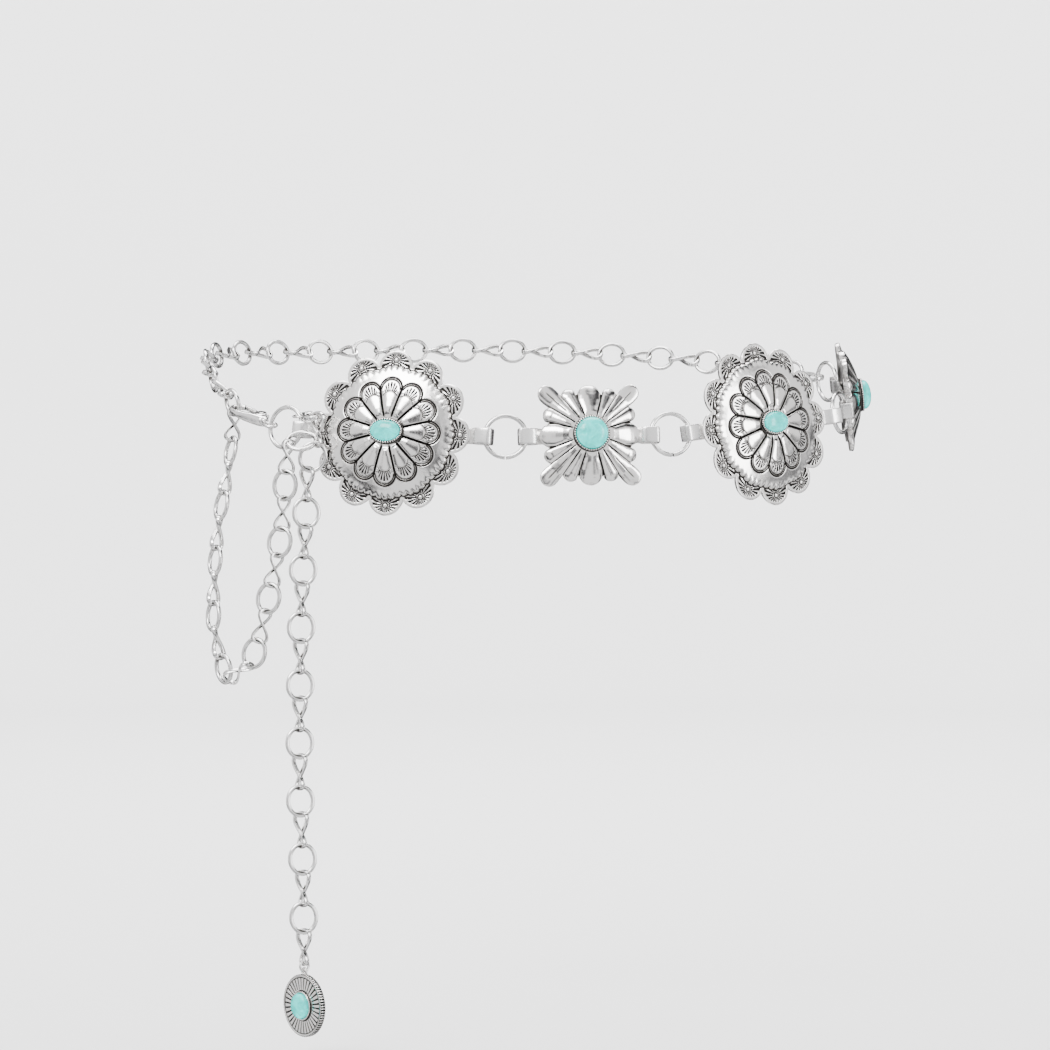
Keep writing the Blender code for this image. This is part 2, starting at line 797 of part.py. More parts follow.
def leaned(along):
    """The direction away from the body for a piece that lies along the belt."""
    flat = along.cross(Vector((0, 0, 1))).normalized()
    return turned(flat, along.normalized(), -BELT_LEAN)


def build_belt_front(places):
    """Rings and conchos along the front, each between two of the places; gives the left ring's matrix."""
    counts = {"ring": 0, "round": 0, "square": 0}
    matrices = []
    for start, end, kind in zip(places, places[1:], FRONT_ROW):
        matrix = frame_matrix((start + end) / 2, end - start, leaned(end - start))
        matrices.append(matrix)
        counts[kind] += 1
        if kind == "ring":
            ring(f"ring_{counts[kind]}", matrix, RING_RADIUS, RING_WIRE, RING_SIDES)
        elif kind == "round":
            round_concho(counts[kind], matrix)
        else:
            square_concho(counts[kind], matrix)
    return matrices[0]


def strand(places, kinds, face):
    """Matrices of successive links between places, by kind; face gives a place's outward side."""
    found = {"oval": [], "eight": []}
    for i, kind in enumerate(kinds):
        pitch = OVAL_PITCH if kind == "oval" else EIGHT_PITCH
        turn = OVAL_TURN if kind == "oval" else EIGHT_TURN
        found[kind].append(link_matrix(places[i], places[i + 1], pitch, face(places[i]), turn))
    return found


def astride(start, end, bar_face):
    """Matrix of a figure of eight whose first loop goes square round a bar that faces bar_face."""
    along = end - start
    return frame_matrix(end - along.normalized() * EIGHT_PITCH / 2, along, along.cross(bar_face))


def outward(place):
    """The direction away from the waist's middle, level with the ground."""
    across = place.x / WAIST_HALF_WIDTH**2
    return Vector((across, place.y / WAIST_FRONT_DEPTH**2, 0)).normalized()


def ahead(place):
    """The direction that the tail's ovals face."""
    return turned(Vector((0, -1, 0)), Vector((0, 0, -1)), TAIL_FACE_TURN)


def pitches(kinds):
    return [OVAL_PITCH if kind == "oval" else EIGHT_PITCH for kind in kinds]


def build_waist_chain(places, clasp_matrix):
    """The chain round the back; its last oval lies across the clasp's claw and is returned."""
    found = strand(places, ["eight", "oval"] * WAIST_PAIRS, outward)
    across_claw = clasp_matrix.to_3x3().col[1]
    if across_claw.dot(outward(places[-1])) < 0:
        across_claw = -across_claw
    last = link_matrix(places[-2], places[-1], OVAL_PITCH, across_claw, 0.0)
    found["oval"][-1] = last
    found["eight"][0] = astride(places[0], places[1], outward(places[0]))
    ovals = [(oval_link(), matrix) for matrix in found["oval"]]
    eights = [(eight_link(), matrix) for matrix in found["eight"]]
    chain("chain_waist", ovals, eights)
    return last


def lowest_inside(oval):
    """The lowest point of an oval link's inner side, less a gap: where the next link hangs from it."""
    half = (OVAL_PITCH + OVAL_WIRE) / 2
    across = (OVAL_WIDTH - OVAL_WIRE) / 2
    frame = oval.to_3x3()
    turn = math.atan2(-frame.col[1].z * across, -frame.col[0].z * half)
    middle = oval @ Vector((half * math.cos(turn), across * math.sin(turn), 0))
    slope = Vector((math.cos(turn) / half, math.sin(turn) / across, 0)).normalized()
    return middle - frame @ slope * (OVAL_WIRE / 2 + HANG_GAP)


def hanging_places(start, end, kinds, route):
    """Link ends from start to end along a route, whose drop is solved so that the links just fit."""
    lengths = pitches(kinds)

    def curve_at(stretch):
        moved = [Vector((x, y, start.z + (z - start.z) * stretch)) for x, y, z in route]
        return smooth_curve([start, *moved, end])

    def slack(stretch):
        curve = curve_at(stretch)
        whole = sum((b - a).length for a, b in zip(curve, curve[1:]))
        beyond = end + (curve[-1] - curve[-2]).normalized() * sum(lengths)
        _, way = walk([*curve, beyond], lengths)
        return whole - way

    places, _ = walk(curve_at(bisect(slack, 0.5, 1.8)), lengths)
    return places


def clasp_2_matrix(ring_matrix):
    """The small clasp hangs on the left ring, above its strap, and points along the belt and forward."""
    frame = ring_matrix.to_3x3()
    turn = math.radians(CLASP_2_RING_ANGLE)
    eye = ring_matrix @ Vector((RING_RADIUS * math.cos(turn), RING_RADIUS * math.sin(turn), 0))
    aim = (frame @ Vector(CLASP_2_AIM)).normalized()
    across_claw = turned(Vector((0, -1, 0)), Vector((0, 0, -1)), CLASP_2_FACE_TURN)
    return frame_matrix(eye, aim, turned(aim.cross(across_claw), aim, CLASP_2["roll"]))


def build_drop_chain(first_oval, claw):
    """The swag from the waist chain to the second claw, and the tail; gives the last link's matrix."""
    claw_x = CLASP_2["length"] * CLASP_SPINE[CLAW_END][0] + CLASP_2_HOLD_SHIFT
    claw_middle = claw @ Vector((claw_x, 0, 0))
    face = turned(Vector((0, -1, 0)), Vector((0, 0, -1)), CLASP_2_FACE_TURN)
    under_end = EIGHT_PITCH / 2 - HANG_GAP - CLASP_2["thickness"] * CLASP_SPINE[CLAW_END][3]
    held = frame_matrix(claw_middle - Vector((0, 0, under_end)), Vector((0, 0, 1)), face)

    side_end = held @ Vector(SIDE_OVAL_END)
    pull = Vector(SIDE_OVAL_PULL).normalized()
    middle = side_end + pull * (OVAL_PITCH + OVAL_WIRE) / 2
    side_oval = frame_matrix(middle, pull, Vector(SIDE_OVAL_FACE))
    swag_end = side_end + pull * (OVAL_PITCH + OVAL_WIRE / 2)

    swag_kinds = ["eight"] + ["oval", "eight"] * SWAG_PAIRS
    places = hanging_places(lowest_inside(first_oval), swag_end, swag_kinds, SWAG_ROUTE)
    swag = strand(places, swag_kinds, outward)
    swag["eight"][0] = astride(places[0], places[1], first_oval.to_3x3().col[2])

    tail_kinds = ["oval", "eight"] * TAIL_PAIRS
    tail_start = held @ Vector((-EIGHT_PITCH / 2, 0, 0))
    route = smooth_curve([tail_start, *(Vector(point) for point in TAIL_ROUTE)])
    places, _ = walk(route, pitches(tail_kinds))
    tail = strand(places, tail_kinds, ahead)

    ovals = [*swag["oval"], side_oval, *tail["oval"]]
    eights = [*swag["eight"], held, *tail["eight"]]
    chain("chain_drop", [(oval_link(), m) for m in ovals], [(eight_link(), m) for m in eights])
    return tail["eight"][-1]


def disc_mesh():
    """A coin with a fluted edge, a sunk field and a bezel, lying on its middle plane."""
    half = DISC_THICKNESS / 2
    field = half - DISC_FIELD_DEPTH
    top = half + DISC_BEZEL_RISE
    inner = PENDANT_STONE[0] + STONE_GAP
    outer = inner + BEZEL_WALL
    rows = []
    for radius, flute, level in (
        (DISC_RADIUS, DISC_FLUTE_DEPTH, -half),
        (DISC_RADIUS, DISC_FLUTE_DEPTH, half),
        (DISC_RADIUS * DISC_FIELD_SHARE, 0.0, half),
        (DISC_RADIUS * DISC_FIELD_SHARE, 0.0, field),
        (outer, 0.0, field),
        (outer, 0.0, top),
        (inner, 0.0, top),
        (inner, 0.0, field + BEZEL_SEAT),
    ):
        row = []
        for i in range(2 * DISC_FLUTES):
            t = math.pi * i / DISC_FLUTES
            reach = radius - flute * (i % 2)
            row.append(Vector((reach * math.cos(t), reach * math.sin(t), level)))
        rows.append(row)
    return stacked(rows)


def build_pendant(last_eight):
    """Jump ring, coin and stone, hanging straight down from the last link's lower end, their axis."""
    swing = bpy.data.objects.new("pendant_swing", None)
    bpy.context.scene.collection.objects.link(swing)
    pivot = last_eight @ Vector(((EIGHT_PITCH + EIGHT_THICKNESS) / 2, 0, 0))
    swing.matrix_world = Matrix.Translation(pivot)
    face = last_eight.to_3x3().col[2]
    level_face = Vector((face.x, face.y, 0)).normalized()
    drop = Vector((0, 0, -1))
    across = level_face.cross(drop)
    wire = JUMP_RING_WIRE / 2
    centre = last_eight @ Vector((EIGHT_PITCH / 2, 0, 0)) + drop * (JUMP_RING_RADIUS - wire - HANG_GAP)
    matrix = frame_matrix(centre, drop, drop.cross(level_face))
    ring("pendant_ring", matrix, JUMP_RING_RADIUS, JUMP_RING_WIRE, JUMP_RING_SIDES)

    eye_top = centre + drop * (JUMP_RING_RADIUS - wire - GAP - DISC_EYE_WIRE / 2)
    eye_centre = eye_top + drop * DISC_EYE_RADIUS
    disc_centre = eye_centre + drop * (DISC_EYE_RADIUS + DISC_RADIUS - DISC_EYE_WIRE / 4)
    matrix = frame_matrix(disc_centre, across, level_face)
    disc = mesh_object("pendant_disc", *disc_mesh())
    eye_shape = hoop(DISC_EYE_RADIUS, DISC_EYE_WIRE / 2, EYE_SIDES, EYE_WIRE_SIDES)
    eye = mesh_object("pendant_eye", *eye_shape, hidden=True)
    eye.matrix_world = frame_matrix(eye_centre, across, level_face)
    boolean(disc, eye, "UNION")
    finish(disc, silver("pendant_disc"), matrix)
    base = DISC_THICKNESS / 2 - DISC_FIELD_DEPTH + BEZEL_SEAT + STONE_GAP
    stone("pendant_stone", PENDANT_STONE, PENDANT_STONE_HEIGHT, base, matrix)
    for piece in ("pendant_ring", "pendant_disc", "pendant_stone"):
        obj = bpy.data.objects[piece]
        obj.parent = swing
        obj.matrix_parent_inverse = Matrix.Translation(-pivot)
    eye.parent = swing
    eye.matrix_parent_inverse = Matrix.Translation(-pivot)


def main():
    for obj in list(bpy.data.objects):
        bpy.data.objects.remove(obj)
    back_depth = bisect(closing_gap, *(WAIST_HALF_WIDTH * share for share in BACK_DEPTH_SHARES))
    bars, links = bar_lengths()
    places, _ = walk(waist_curve(back_depth), bars + links)
    first_ring = build_belt_front(places)
    aim = (places[-1] - places[0]).normalized()
    face = turned(outward(places[0]), aim, CLASP_1["roll"])
    claw_1 = frame_matrix(places[0], aim, face)
    last_oval = build_waist_chain(places[len(bars) :], claw_1)
    clasp("clasp_1", CLASP_1, claw_1)
    claw_2 = clasp_2_matrix(first_ring)
    clasp("clasp_2", CLASP_2, claw_2)
    build_pendant(build_drop_chain(last_oval, claw_2))


main()
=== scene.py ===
"""A western concho chain belt, dressed: relief, smooth links, clasps, stones and patina.

Units are metres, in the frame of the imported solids, and degrees. The first part repeats the places
of the pieces from the part's source. The second builds each piece in its own frame and carries it
there. Relief is in mm above the plate, at shares of the concho's radius or half width.
"""

import math

import bpy
import numpy as np
from mathutils import Matrix, Vector


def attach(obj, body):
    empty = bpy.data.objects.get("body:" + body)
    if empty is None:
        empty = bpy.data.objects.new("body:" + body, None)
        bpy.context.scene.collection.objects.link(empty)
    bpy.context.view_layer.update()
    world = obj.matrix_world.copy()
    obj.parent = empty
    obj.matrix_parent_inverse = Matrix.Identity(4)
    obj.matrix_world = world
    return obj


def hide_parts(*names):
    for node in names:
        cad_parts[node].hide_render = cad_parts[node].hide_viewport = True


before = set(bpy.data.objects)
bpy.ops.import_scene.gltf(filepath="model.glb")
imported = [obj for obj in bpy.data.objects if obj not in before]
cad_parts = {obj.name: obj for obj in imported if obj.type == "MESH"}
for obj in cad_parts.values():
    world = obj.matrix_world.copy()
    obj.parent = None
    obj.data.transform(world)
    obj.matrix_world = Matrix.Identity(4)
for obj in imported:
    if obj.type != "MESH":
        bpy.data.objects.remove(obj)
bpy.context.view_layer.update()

# The waist, and the belt's heights round it: angle from +X, height
WAIST_HALF_WIDTH = 0.1345
WAIST_FRONT_DEPTH = 0.096
BACK_DEPTH_SHARES = (0.1, 1.6)
BELT_START_ANGLE = -139.8
BELT_LEAN = 6.0
BELT_HEIGHTS = (
    (-180.0, 0.0132),
    (-159.0, -0.0006),
    (-150.0, -0.0100),
    (-138.0, -0.0172),
    (-115.0, -0.0210),
    (-90.0, -0.0222),
    (-66.0, -0.0210),
    (-45.0, -0.0165),
    (-21.0, -0.0112),
    (-2.0, -0.0025),
    (45.0, 0.0140),
    (90.0, 0.0220),
    (135.0, 0.0200),
)
CURVE_STEPS = 1440
FRONT_ROW = ("ring", "round", "ring", "square", "ring", "round", "ring", "square", "ring")

GAP = 0.0003
LOOP_SLACK = 0.0008
HANG_GAP = 0.0006
LINK_SINK = 0.0002
STONE_GAP = 0.0002

RING_RADIUS = 0.00805
RING_WIRE = 0.0017
STRAP_HEIGHT = 0.0062
STRAP_THICKNESS = 0.0009
PLATE_LIFT = STRAP_THICKNESS / 2 - 0.0003
ROUND_STRAP_PITCH = 0.0763
SQUARE_STRAP_PITCH = 0.0487

ROUND_RADIUS = 0.0325
ROUND_DOME_HEIGHT = 0.0062
ROUND_LOBES = 12
LOBE_CENTRE = 0.78
LOBE_RADIUS = LOBE_CENTRE * math.sin(math.pi / ROUND_LOBES) * 1.09
SQUARE_HALF_WIDTH = 0.0195
SQUARE_DOME_HEIGHT = 0.0070
OVAL_STONE = (0.0060, 0.0040)
OVAL_STONE_HEIGHT = 0.0030
ROUND_STONE = (0.0060, 0.0060)
ROUND_STONE_HEIGHT = 0.0045
BEZEL_SEAT = 0.0004

OVAL_PITCH = 0.0098
OVAL_WIDTH = 0.0112
OVAL_WIRE = 0.0016
EIGHT_PITCH = 0.0126
EIGHT_WIDTH = 0.0064
EIGHT_THICKNESS = 0.0009
EIGHT_DEPTH = 0.0018
OVAL_TURN = 8.0
EIGHT_TURN = 62.0
WAIST_PAIRS = 17
SWAG_PAIRS = 9
TAIL_PAIRS = 9

CLASP_1 = {
    "length": 0.0250,
    "half_width": 0.0034,
    "wire": 0.0024,
    "thickness": 0.0046,
    "eye_hole": 0.0015,
    "eye_wire": 0.0013,
    "neck": 0.0018,
    "roll": 75.0,
}
CLASP_2 = {
    "length": 0.0142,
    "half_width": 0.0030,
    "wire": 0.0015,
    "thickness": 0.0034,
    "eye_hole": 0.0021,
    "eye_wire": 0.0009,
    "neck": 0.0008,
    "roll": 12.0,
}
# Clasp spine: along, across, half width, half depth, as shares of length, half width, wire, thickness
CLASP_SPINE = (
    (0.14, 0.00, 0.55, 0.34),
    (0.20, 0.00, 1.00, 0.48),
    (0.34, 0.30, 0.95, 0.50),
    (0.48, 0.72, 0.66, 0.44),
    (0.64, 1.00, 0.56, 0.36),
    (0.80, 1.02, 0.50, 0.30),
    (0.915, 0.72, 0.48, 0.28),
    (0.945, 0.00, 0.46, 0.26),
    (0.905, -0.62, 0.46, 0.26),
    (0.845, -0.92, 0.42, 0.24),
)
CLAW_END = 7
# Lever and thumb piece: along, across, half width
CLASP_GATE = (
    (0.34, -0.46, 0.42),
    (0.50, -0.86, 0.40),
    (0.66, -1.00, 0.36),
)
KNUCKLE_SHARE = 0.62
CHEEK_SHARE = 0.90
LEVER_TIP_SHARE = 0.30
LEVER_TIP_GAP_SHARE = 0.28
LEVER_SHARE = 0.24
SEAT_END_SHARE = 0.80
THUMB = (
    (0.00, 0.00, 0.30),
    (-0.05, -0.425, 0.26),
    (-0.10, -0.85, 0.22),
)
CLASP_2_RING_ANGLE = 42.0
CLASP_2_AIM = (0.95, 0.03, 0.30)
CLASP_2_FACE_TURN = 51.0
CLASP_2_HOLD_SHIFT = 0.0001

# Chosen points that the hanging chain passes
SWAG_ROUTE = (
    (-0.1200, -0.0520, -0.0300),
    (-0.1240, -0.0545, -0.0535),
    (-0.1256, -0.0580, -0.0763),
    (-0.1248, -0.0635, -0.0992),
    (-0.1165, -0.0725, -0.1190),
    (-0.1072, -0.0770, -0.1040),
    (-0.1018, -0.0780, -0.0822),
    (-0.0975, -0.0770, -0.0600),
    (-0.0958, -0.0765, -0.0385),
)
TAIL_ROUTE = (
    (-0.0866, -0.0800, -0.0300),
    (-0.0872, -0.0810, -0.0520),
    (-0.0886, -0.0830, -0.0780),
    (-0.0892, -0.0850, -0.1080),
    (-0.0890, -0.0910, -0.1525),
    (-0.0874, -0.0965, -0.1900),
    (-0.0863, -0.1005, -0.2400),
)
TAIL_FACE_TURN = -14.0
SIDE_OVAL_END = (-0.0044, 0.00162, 0.0)
SIDE_OVAL_PULL = (-1.0, 0.10, 0.0)
SIDE_OVAL_FACE = (0.0, -0.72, 0.70)

JUMP_RING_RADIUS = 0.0020
JUMP_RING_WIRE = 0.0009
DISC_RADIUS = 0.0120
DISC_THICKNESS = 0.0024
DISC_FIELD_DEPTH = 0.0005
DISC_EYE_RADIUS = 0.00125
DISC_EYE_WIRE = 0.0009
PENDANT_STONE = (0.0048, 0.0048)
PENDANT_STONE_HEIGHT = 0.0030


# Places


def frame_matrix(centre, along, face):
    x = along.normalized()
    z = (face - x * face.dot(x)).normalized()
    y = z.cross(x)
    matrix = Matrix((x, y, z)).transposed().to_4x4()
    matrix.translation = centre
    return matrix


def turned(direction, axis, degrees):
    return Matrix.Rotation(math.radians(degrees), 3, axis) @ direction


def belt_height(angle):
    table = [(a - 360.0, h) for a, h in BELT_HEIGHTS] + list(BELT_HEIGHTS)
    table += [(a + 360.0, h) for a, h in BELT_HEIGHTS]
    i = max(k for k in range(len(table)) if table[k][0] <= angle)
    before, start, end, after = table[i - 1], table[i], table[i + 1], table[i + 2]
    width = end[0] - start[0]
    share = (angle - start[0]) / width
    slope_start = (end[1] - before[1]) / (end[0] - before[0]) * width
    slope_end = (after[1] - start[1]) / (after[0] - start[0]) * width
    square, cube = share**2, share**3
    return (
        (2 * cube - 3 * square + 1) * start[1]
        + (cube - 2 * square + share) * slope_start
        + (3 * square - 2 * cube) * end[1]
        + (cube - square) * slope_end
    )


def waist_curve(back_depth):
    points = []
    for i in range(CURVE_STEPS + 1):
        angle = BELT_START_ANGLE + 360.0 * i / CURVE_STEPS
        turn = math.radians(angle)
        depth = WAIST_FRONT_DEPTH if math.sin(turn) < 0 else back_depth
        place = (WAIST_HALF_WIDTH * math.cos(turn), depth * math.sin(turn))
        points.append(Vector((*place, belt_height(angle if angle < 180 else angle - 360))))
    return points


def smooth_curve(points, steps=24):
    padded = [2 * points[0] - points[1], *points, 2 * points[-1] - points[-2]]
    curve = []
    for i in range(1, len(padded) - 2):
        a, b, c, d = padded[i - 1 : i + 3]
        for j in range(steps):
            t = j / steps
            square = (2 * a - 5 * b + 4 * c - d) * t**2
            cube = (3 * b - a - 3 * c + d) * t**3
            curve.append(0.5 * (2 * b + (c - a) * t + square + cube))
    curve.append(points[-1])
    return curve


def walk(curve, lengths):
    places = [curve[0]]
    at = 0
    share = 0.0
    for length in lengths:
        start = places[-1]
        while at < len(curve) - 2 and (curve[at + 1] - start).length < length:
            at += 1
        side = curve[at + 1] - curve[at]
        back = curve[at] - start
        half = back.dot(side)
        root = half**2 - side.length_squared * (back.length_squared - length**2)
        share = (-half + math.sqrt(max(root, 0.0))) / side.length_squared
        places.append(curve[at] + side * share)
    way = sum((b - a).length for a, b in zip(curve[:at], curve[1 : at + 1]))
    return places, way + (curve[at + 1] - curve[at]).length * share


def bisect(fault, low, high, steps=40):
    for _ in range(steps):
        middle = (low + high) / 2
        if fault(middle) > 0:
            high = middle
        else:
            low = middle
    return (low + high) / 2


def bar_lengths():
    pitch = {"ring": 2 * RING_RADIUS, "round": ROUND_STRAP_PITCH, "square": SQUARE_STRAP_PITCH}
    first = EIGHT_PITCH - RING_WIRE / 2 - GAP
    links = [first, OVAL_PITCH] + [EIGHT_PITCH, OVAL_PITCH] * (WAIST_PAIRS - 1)
    return [pitch[kind] for kind in FRONT_ROW], links


def clasp_reach(size):
    along, _, half, _ = CLASP_SPINE[CLAW_END]
    return size["length"] * along - size["wire"] * half


def closing_gap(back_depth):
    bars, links = bar_lengths()
    curve = waist_curve(back_depth)
    places, way = walk(curve, bars + links)
    left = sum((b - a).length for a, b in zip(curve, curve[1:])) - way
    return math.copysign((places[-1] - places[0]).length, left) - clasp_reach(CLASP_1) + GAP


def leaned(along):
    flat = along.cross(Vector((0, 0, 1))).normalized()
    return turned(flat, along.normalized(), -BELT_LEAN)


def link_matrix(start, end, pitch, face, turn):
    along = (end - start).normalized()
    return frame_matrix(end - along * pitch / 2, along, turned(face, along, turn))


def strand(places, kinds, face):
    found = {"oval": [], "eight": []}
    for i, kind in enumerate(kinds):
        pitch = OVAL_PITCH if kind == "oval" else EIGHT_PITCH
        turn = OVAL_TURN if kind == "oval" else EIGHT_TURN
        found[kind].append(link_matrix(places[i], places[i + 1], pitch, face(places[i]), turn))
    return found


def astride(start, end, bar_face):
    along = end - start
    return frame_matrix(end - along.normalized() * EIGHT_PITCH / 2, along, along.cross(bar_face))


def outward(place):
    across = place.x / WAIST_HALF_WIDTH**2
    return Vector((across, place.y / WAIST_FRONT_DEPTH**2, 0)).normalized()


def ahead(place):
    return turned(Vector((0, -1, 0)), Vector((0, 0, -1)), TAIL_FACE_TURN)


def pitches(kinds):
    return [OVAL_PITCH if kind == "oval" else EIGHT_PITCH for kind in kinds]


def waist_links(places, clasp_matrix):
    found = strand(places, ["eight", "oval"] * WAIST_PAIRS, outward)
    across_claw = clasp_matrix.to_3x3().col[1]
    if across_claw.dot(outward(places[-1])) < 0:
        across_claw = -across_claw
    found["oval"][-1] = link_matrix(places[-2], places[-1], OVAL_PITCH, across_claw, 0.0)
    found["eight"][0] = astride(places[0], places[1], outward(places[0]))
    return found


def lowest_inside(oval):
    half = (OVAL_PITCH + OVAL_WIRE) / 2
    across = (OVAL_WIDTH - OVAL_WIRE) / 2
    axes = oval.to_3x3()
    turn = math.atan2(-axes.col[1].z * across, -axes.col[0].z * half)
    middle = oval @ Vector((half * math.cos(turn), across * math.sin(turn), 0))
    slope = Vector((math.cos(turn) / half, math.sin(turn) / across, 0)).normalized()
    return middle - axes @ slope * (OVAL_WIRE / 2 + HANG_GAP)


def hanging_places(start, end, kinds, route):
    lengths = pitches(kinds)

    def curve_at(stretch):
        moved = [Vector((x, y, start.z + (z - start.z) * stretch)) for x, y, z in route]
        return smooth_curve([start, *moved, end])

    def slack(stretch):
        curve = curve_at(stretch)
        whole = sum((b - a).length for a, b in zip(curve, curve[1:]))
        beyond = end + (curve[-1] - curve[-2]).normalized() * sum(lengths)
        _, way = walk([*curve, beyond], lengths)
        return whole - way

    places, _ = walk(curve_at(bisect(slack, 0.5, 1.8)), lengths)
    return places


def clasp_2_matrix(ring_matrix):
    axes = ring_matrix.to_3x3()
    turn = math.radians(CLASP_2_RING_ANGLE)
    eye = ring_matrix @ Vector((RING_RADIUS * math.cos(turn), RING_RADIUS * math.sin(turn), 0))
    aim = (axes @ Vector(CLASP_2_AIM)).normalized()
    across_claw = turned(Vector((0, -1, 0)), Vector((0, 0, -1)), CLASP_2_FACE_TURN)
    return frame_matrix(eye, aim, turned(aim.cross(across_claw), aim, CLASP_2["roll"]))


def drop_links(first_oval, claw):
    claw_x = CLASP_2["length"] * CLASP_SPINE[CLAW_END][0] + CLASP_2_HOLD_SHIFT
    claw_middle = claw @ Vector((claw_x, 0, 0))
    face = turned(Vector((0, -1, 0)), Vector((0, 0, -1)), CLASP_2_FACE_TURN)
    under_end = EIGHT_PITCH / 2 - HANG_GAP - CLASP_2["thickness"] * CLASP_SPINE[CLAW_END][3]
    held = frame_matrix(claw_middle - Vector((0, 0, under_end)), Vector((0, 0, 1)), face)
    side_end = held @ Vector(SIDE_OVAL_END)
    pull = Vector(SIDE_OVAL_PULL).normalized()
    middle = side_end + pull * (OVAL_PITCH + OVAL_WIRE) / 2
    side_oval = frame_matrix(middle, pull, Vector(SIDE_OVAL_FACE))
    swag_end = side_end + pull * (OVAL_PITCH + OVAL_WIRE / 2)
    swag_kinds = ["eight"] + ["oval", "eight"] * SWAG_PAIRS
    places = hanging_places(lowest_inside(first_oval), swag_end, swag_kinds, SWAG_ROUTE)
    swag = strand(places, swag_kinds, outward)
    swag["eight"][0] = astride(places[0], places[1], first_oval.to_3x3().col[2])
    tail_kinds = ["oval", "eight"] * TAIL_PAIRS
    tail_start = held @ Vector((-EIGHT_PITCH / 2, 0, 0))
    route = smooth_curve([tail_start, *(Vector(point) for point in TAIL_ROUTE)])
    places, _ = walk(route, pitches(tail_kinds))
    tail = strand(places, tail_kinds, ahead)
    return {
        "oval": [*swag["oval"], side_oval, *tail["oval"]],
        "eight": [*swag["eight"], held, *tail["eight"]],
    }


# Meshes: a shape is (points, faces, patina), points an array, patina 0 to 1 at each point; on the round
# conchos this darkness also holds some painted shadow


def grid_faces(rows, columns, closed_rows=False):
    """Faces of a grid whose rows close on themselves, and whose first and last row meet if asked."""
    i = np.arange(rows if closed_rows else rows - 1)[:, None]
    j = np.arange(columns)[None, :]
    k = (j + 1) % columns
    up = (i + 1) % rows
    quads = np.stack([i * columns + j, i * columns + k, up * columns + k, up * columns + j], -1)
    return [tuple(face) for face in quads.reshape(-1, 4).tolist()]


def capped(rows, patina=None):
    """A body whose skin runs through rows of points and has flat ends."""
    columns = len(rows[0])
    faces = grid_faces(len(rows), columns)
    faces.append(tuple(range(columns)))
    faces.append(tuple(range((len(rows) - 1) * columns, len(rows) * columns)))
    points = np.concatenate(rows)
    return points, faces, np.zeros(len(points)) if patina is None else np.concatenate(patina)


def circle(columns):
    return 2 * np.pi * np.arange(columns) / columns


def merged(shapes):
    points, faces, patina = [], [], []
    first = 0
    for shape_points, shape_faces, shape_patina in shapes:
        points.append(shape_points)
        patina.append(shape_patina)
        faces += [tuple(first + i for i in face) for face in shape_faces]
        first += len(shape_points)
    return np.concatenate(points), faces, np.concatenate(patina)


def carried(shape, matrix):
    m = np.array(matrix)
    return shape[0] @ m[:3, :3].T + m[:3, 3], shape[1], shape[2]


def piece(name, shape, material, body, replaced, matrix=None, sharp=50.0):
    """An object of the belt from a shape, riding on a body and standing for CAD nodes."""
    points, faces, patina = shape
    mesh = bpy.data.meshes.new(name)
    mesh.from_pydata(points.tolist(), [], faces)
    attribute = mesh.attributes.new("patina", "FLOAT", "POINT")
    attribute.data.foreach_set("value", np.ascontiguousarray(patina, dtype=np.float32))
    mesh.materials.append(material)
    mesh.validate()
    obj = bpy.data.objects.new(name, mesh)
    bpy.context.scene.collection.objects.link(obj)
    mesh.shade_smooth()
    mesh.set_sharp_from_angle(angle=math.radians(sharp))
    if matrix is not None:
        obj.matrix_world = matrix
    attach(obj, body)
    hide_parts(*replaced)


def bar(path, across, deep, sides, closed, square=1.0):
    """A bar along a path in its XY plane; square below 1 gives it flatter sides."""
    points = []
    count = len(path)
    turns = 2 * np.pi * (np.arange(sides) + 0.5) / sides
    cos, sin = np.cos(turns), np.sin(turns)
    cos = np.sign(cos) * np.abs(cos) ** square
    sin = np.sign(sin) * np.abs(sin) ** square
    for i in range(count):
        if closed:
            tangent = Vector(path[(i + 1) % count]) - Vector(path[i - 1])
        else:
            tangent = Vector(path[min(i + 1, count - 1)]) - Vector(path[max(i - 1, 0)])
        side = tangent.cross(Vector((0, 0, 1))).normalized()
        up = side.cross(tangent).normalized()
        ring_points = (
            np.array(path[i])
            + np.outer(cos * across[i], np.array(side))
            + np.outer(sin * deep[i], np.array(up))
        )
        points.append(ring_points)
    points = np.concatenate(points)
    faces = grid_faces(count, sides, closed)
    if not closed:
        faces.append(tuple(range(sides)))
        faces.append(tuple(range((count - 1) * sides, count * sides)))
    return points, faces, np.zeros(len(points))


def smooth_table(table, steps):
    """Rows of a table joined by a smooth curve, as an array."""
    rows = np.array(table, float)
    padded = np.concatenate([2 * rows[:1] - rows[1:2], rows, 2 * rows[-1:] - rows[-2:-1]])
    found = []
    for i in range(1, len(padded) - 2):
        a, b, c, d = padded[i - 1 : i + 3]
        for j in range(steps):
            t = j / steps
            square = (2 * a - 5 * b + 4 * c - d) * t**2
            cube = (3 * b - a - 3 * c + d) * t**3
            found.append(0.5 * (2 * b + (c - a) * t + square + cube))
    found.append(rows[-1])
    return np.array(found)


def step(low, high, value):
    """0 below low, 1 above high and a smooth rise between."""
    t = np.clip((value - low) / (high - low), 0, 1)
    return t * t * (3 - 2 * t)


def line(distance, width):
    """1 on a line and 0 away from it."""
    return np.exp(-((distance / width) ** 2))


# Conchos


def lobed_outline(t):
    span = 2 * np.pi / ROUND_LOBES
    phase = (t + span / 2) % span - span / 2
    side = LOBE_CENTRE * np.sin(phase)
    return LOBE_CENTRE * np.cos(phase) + np.sqrt(LOBE_RADIUS**2 - side**2)


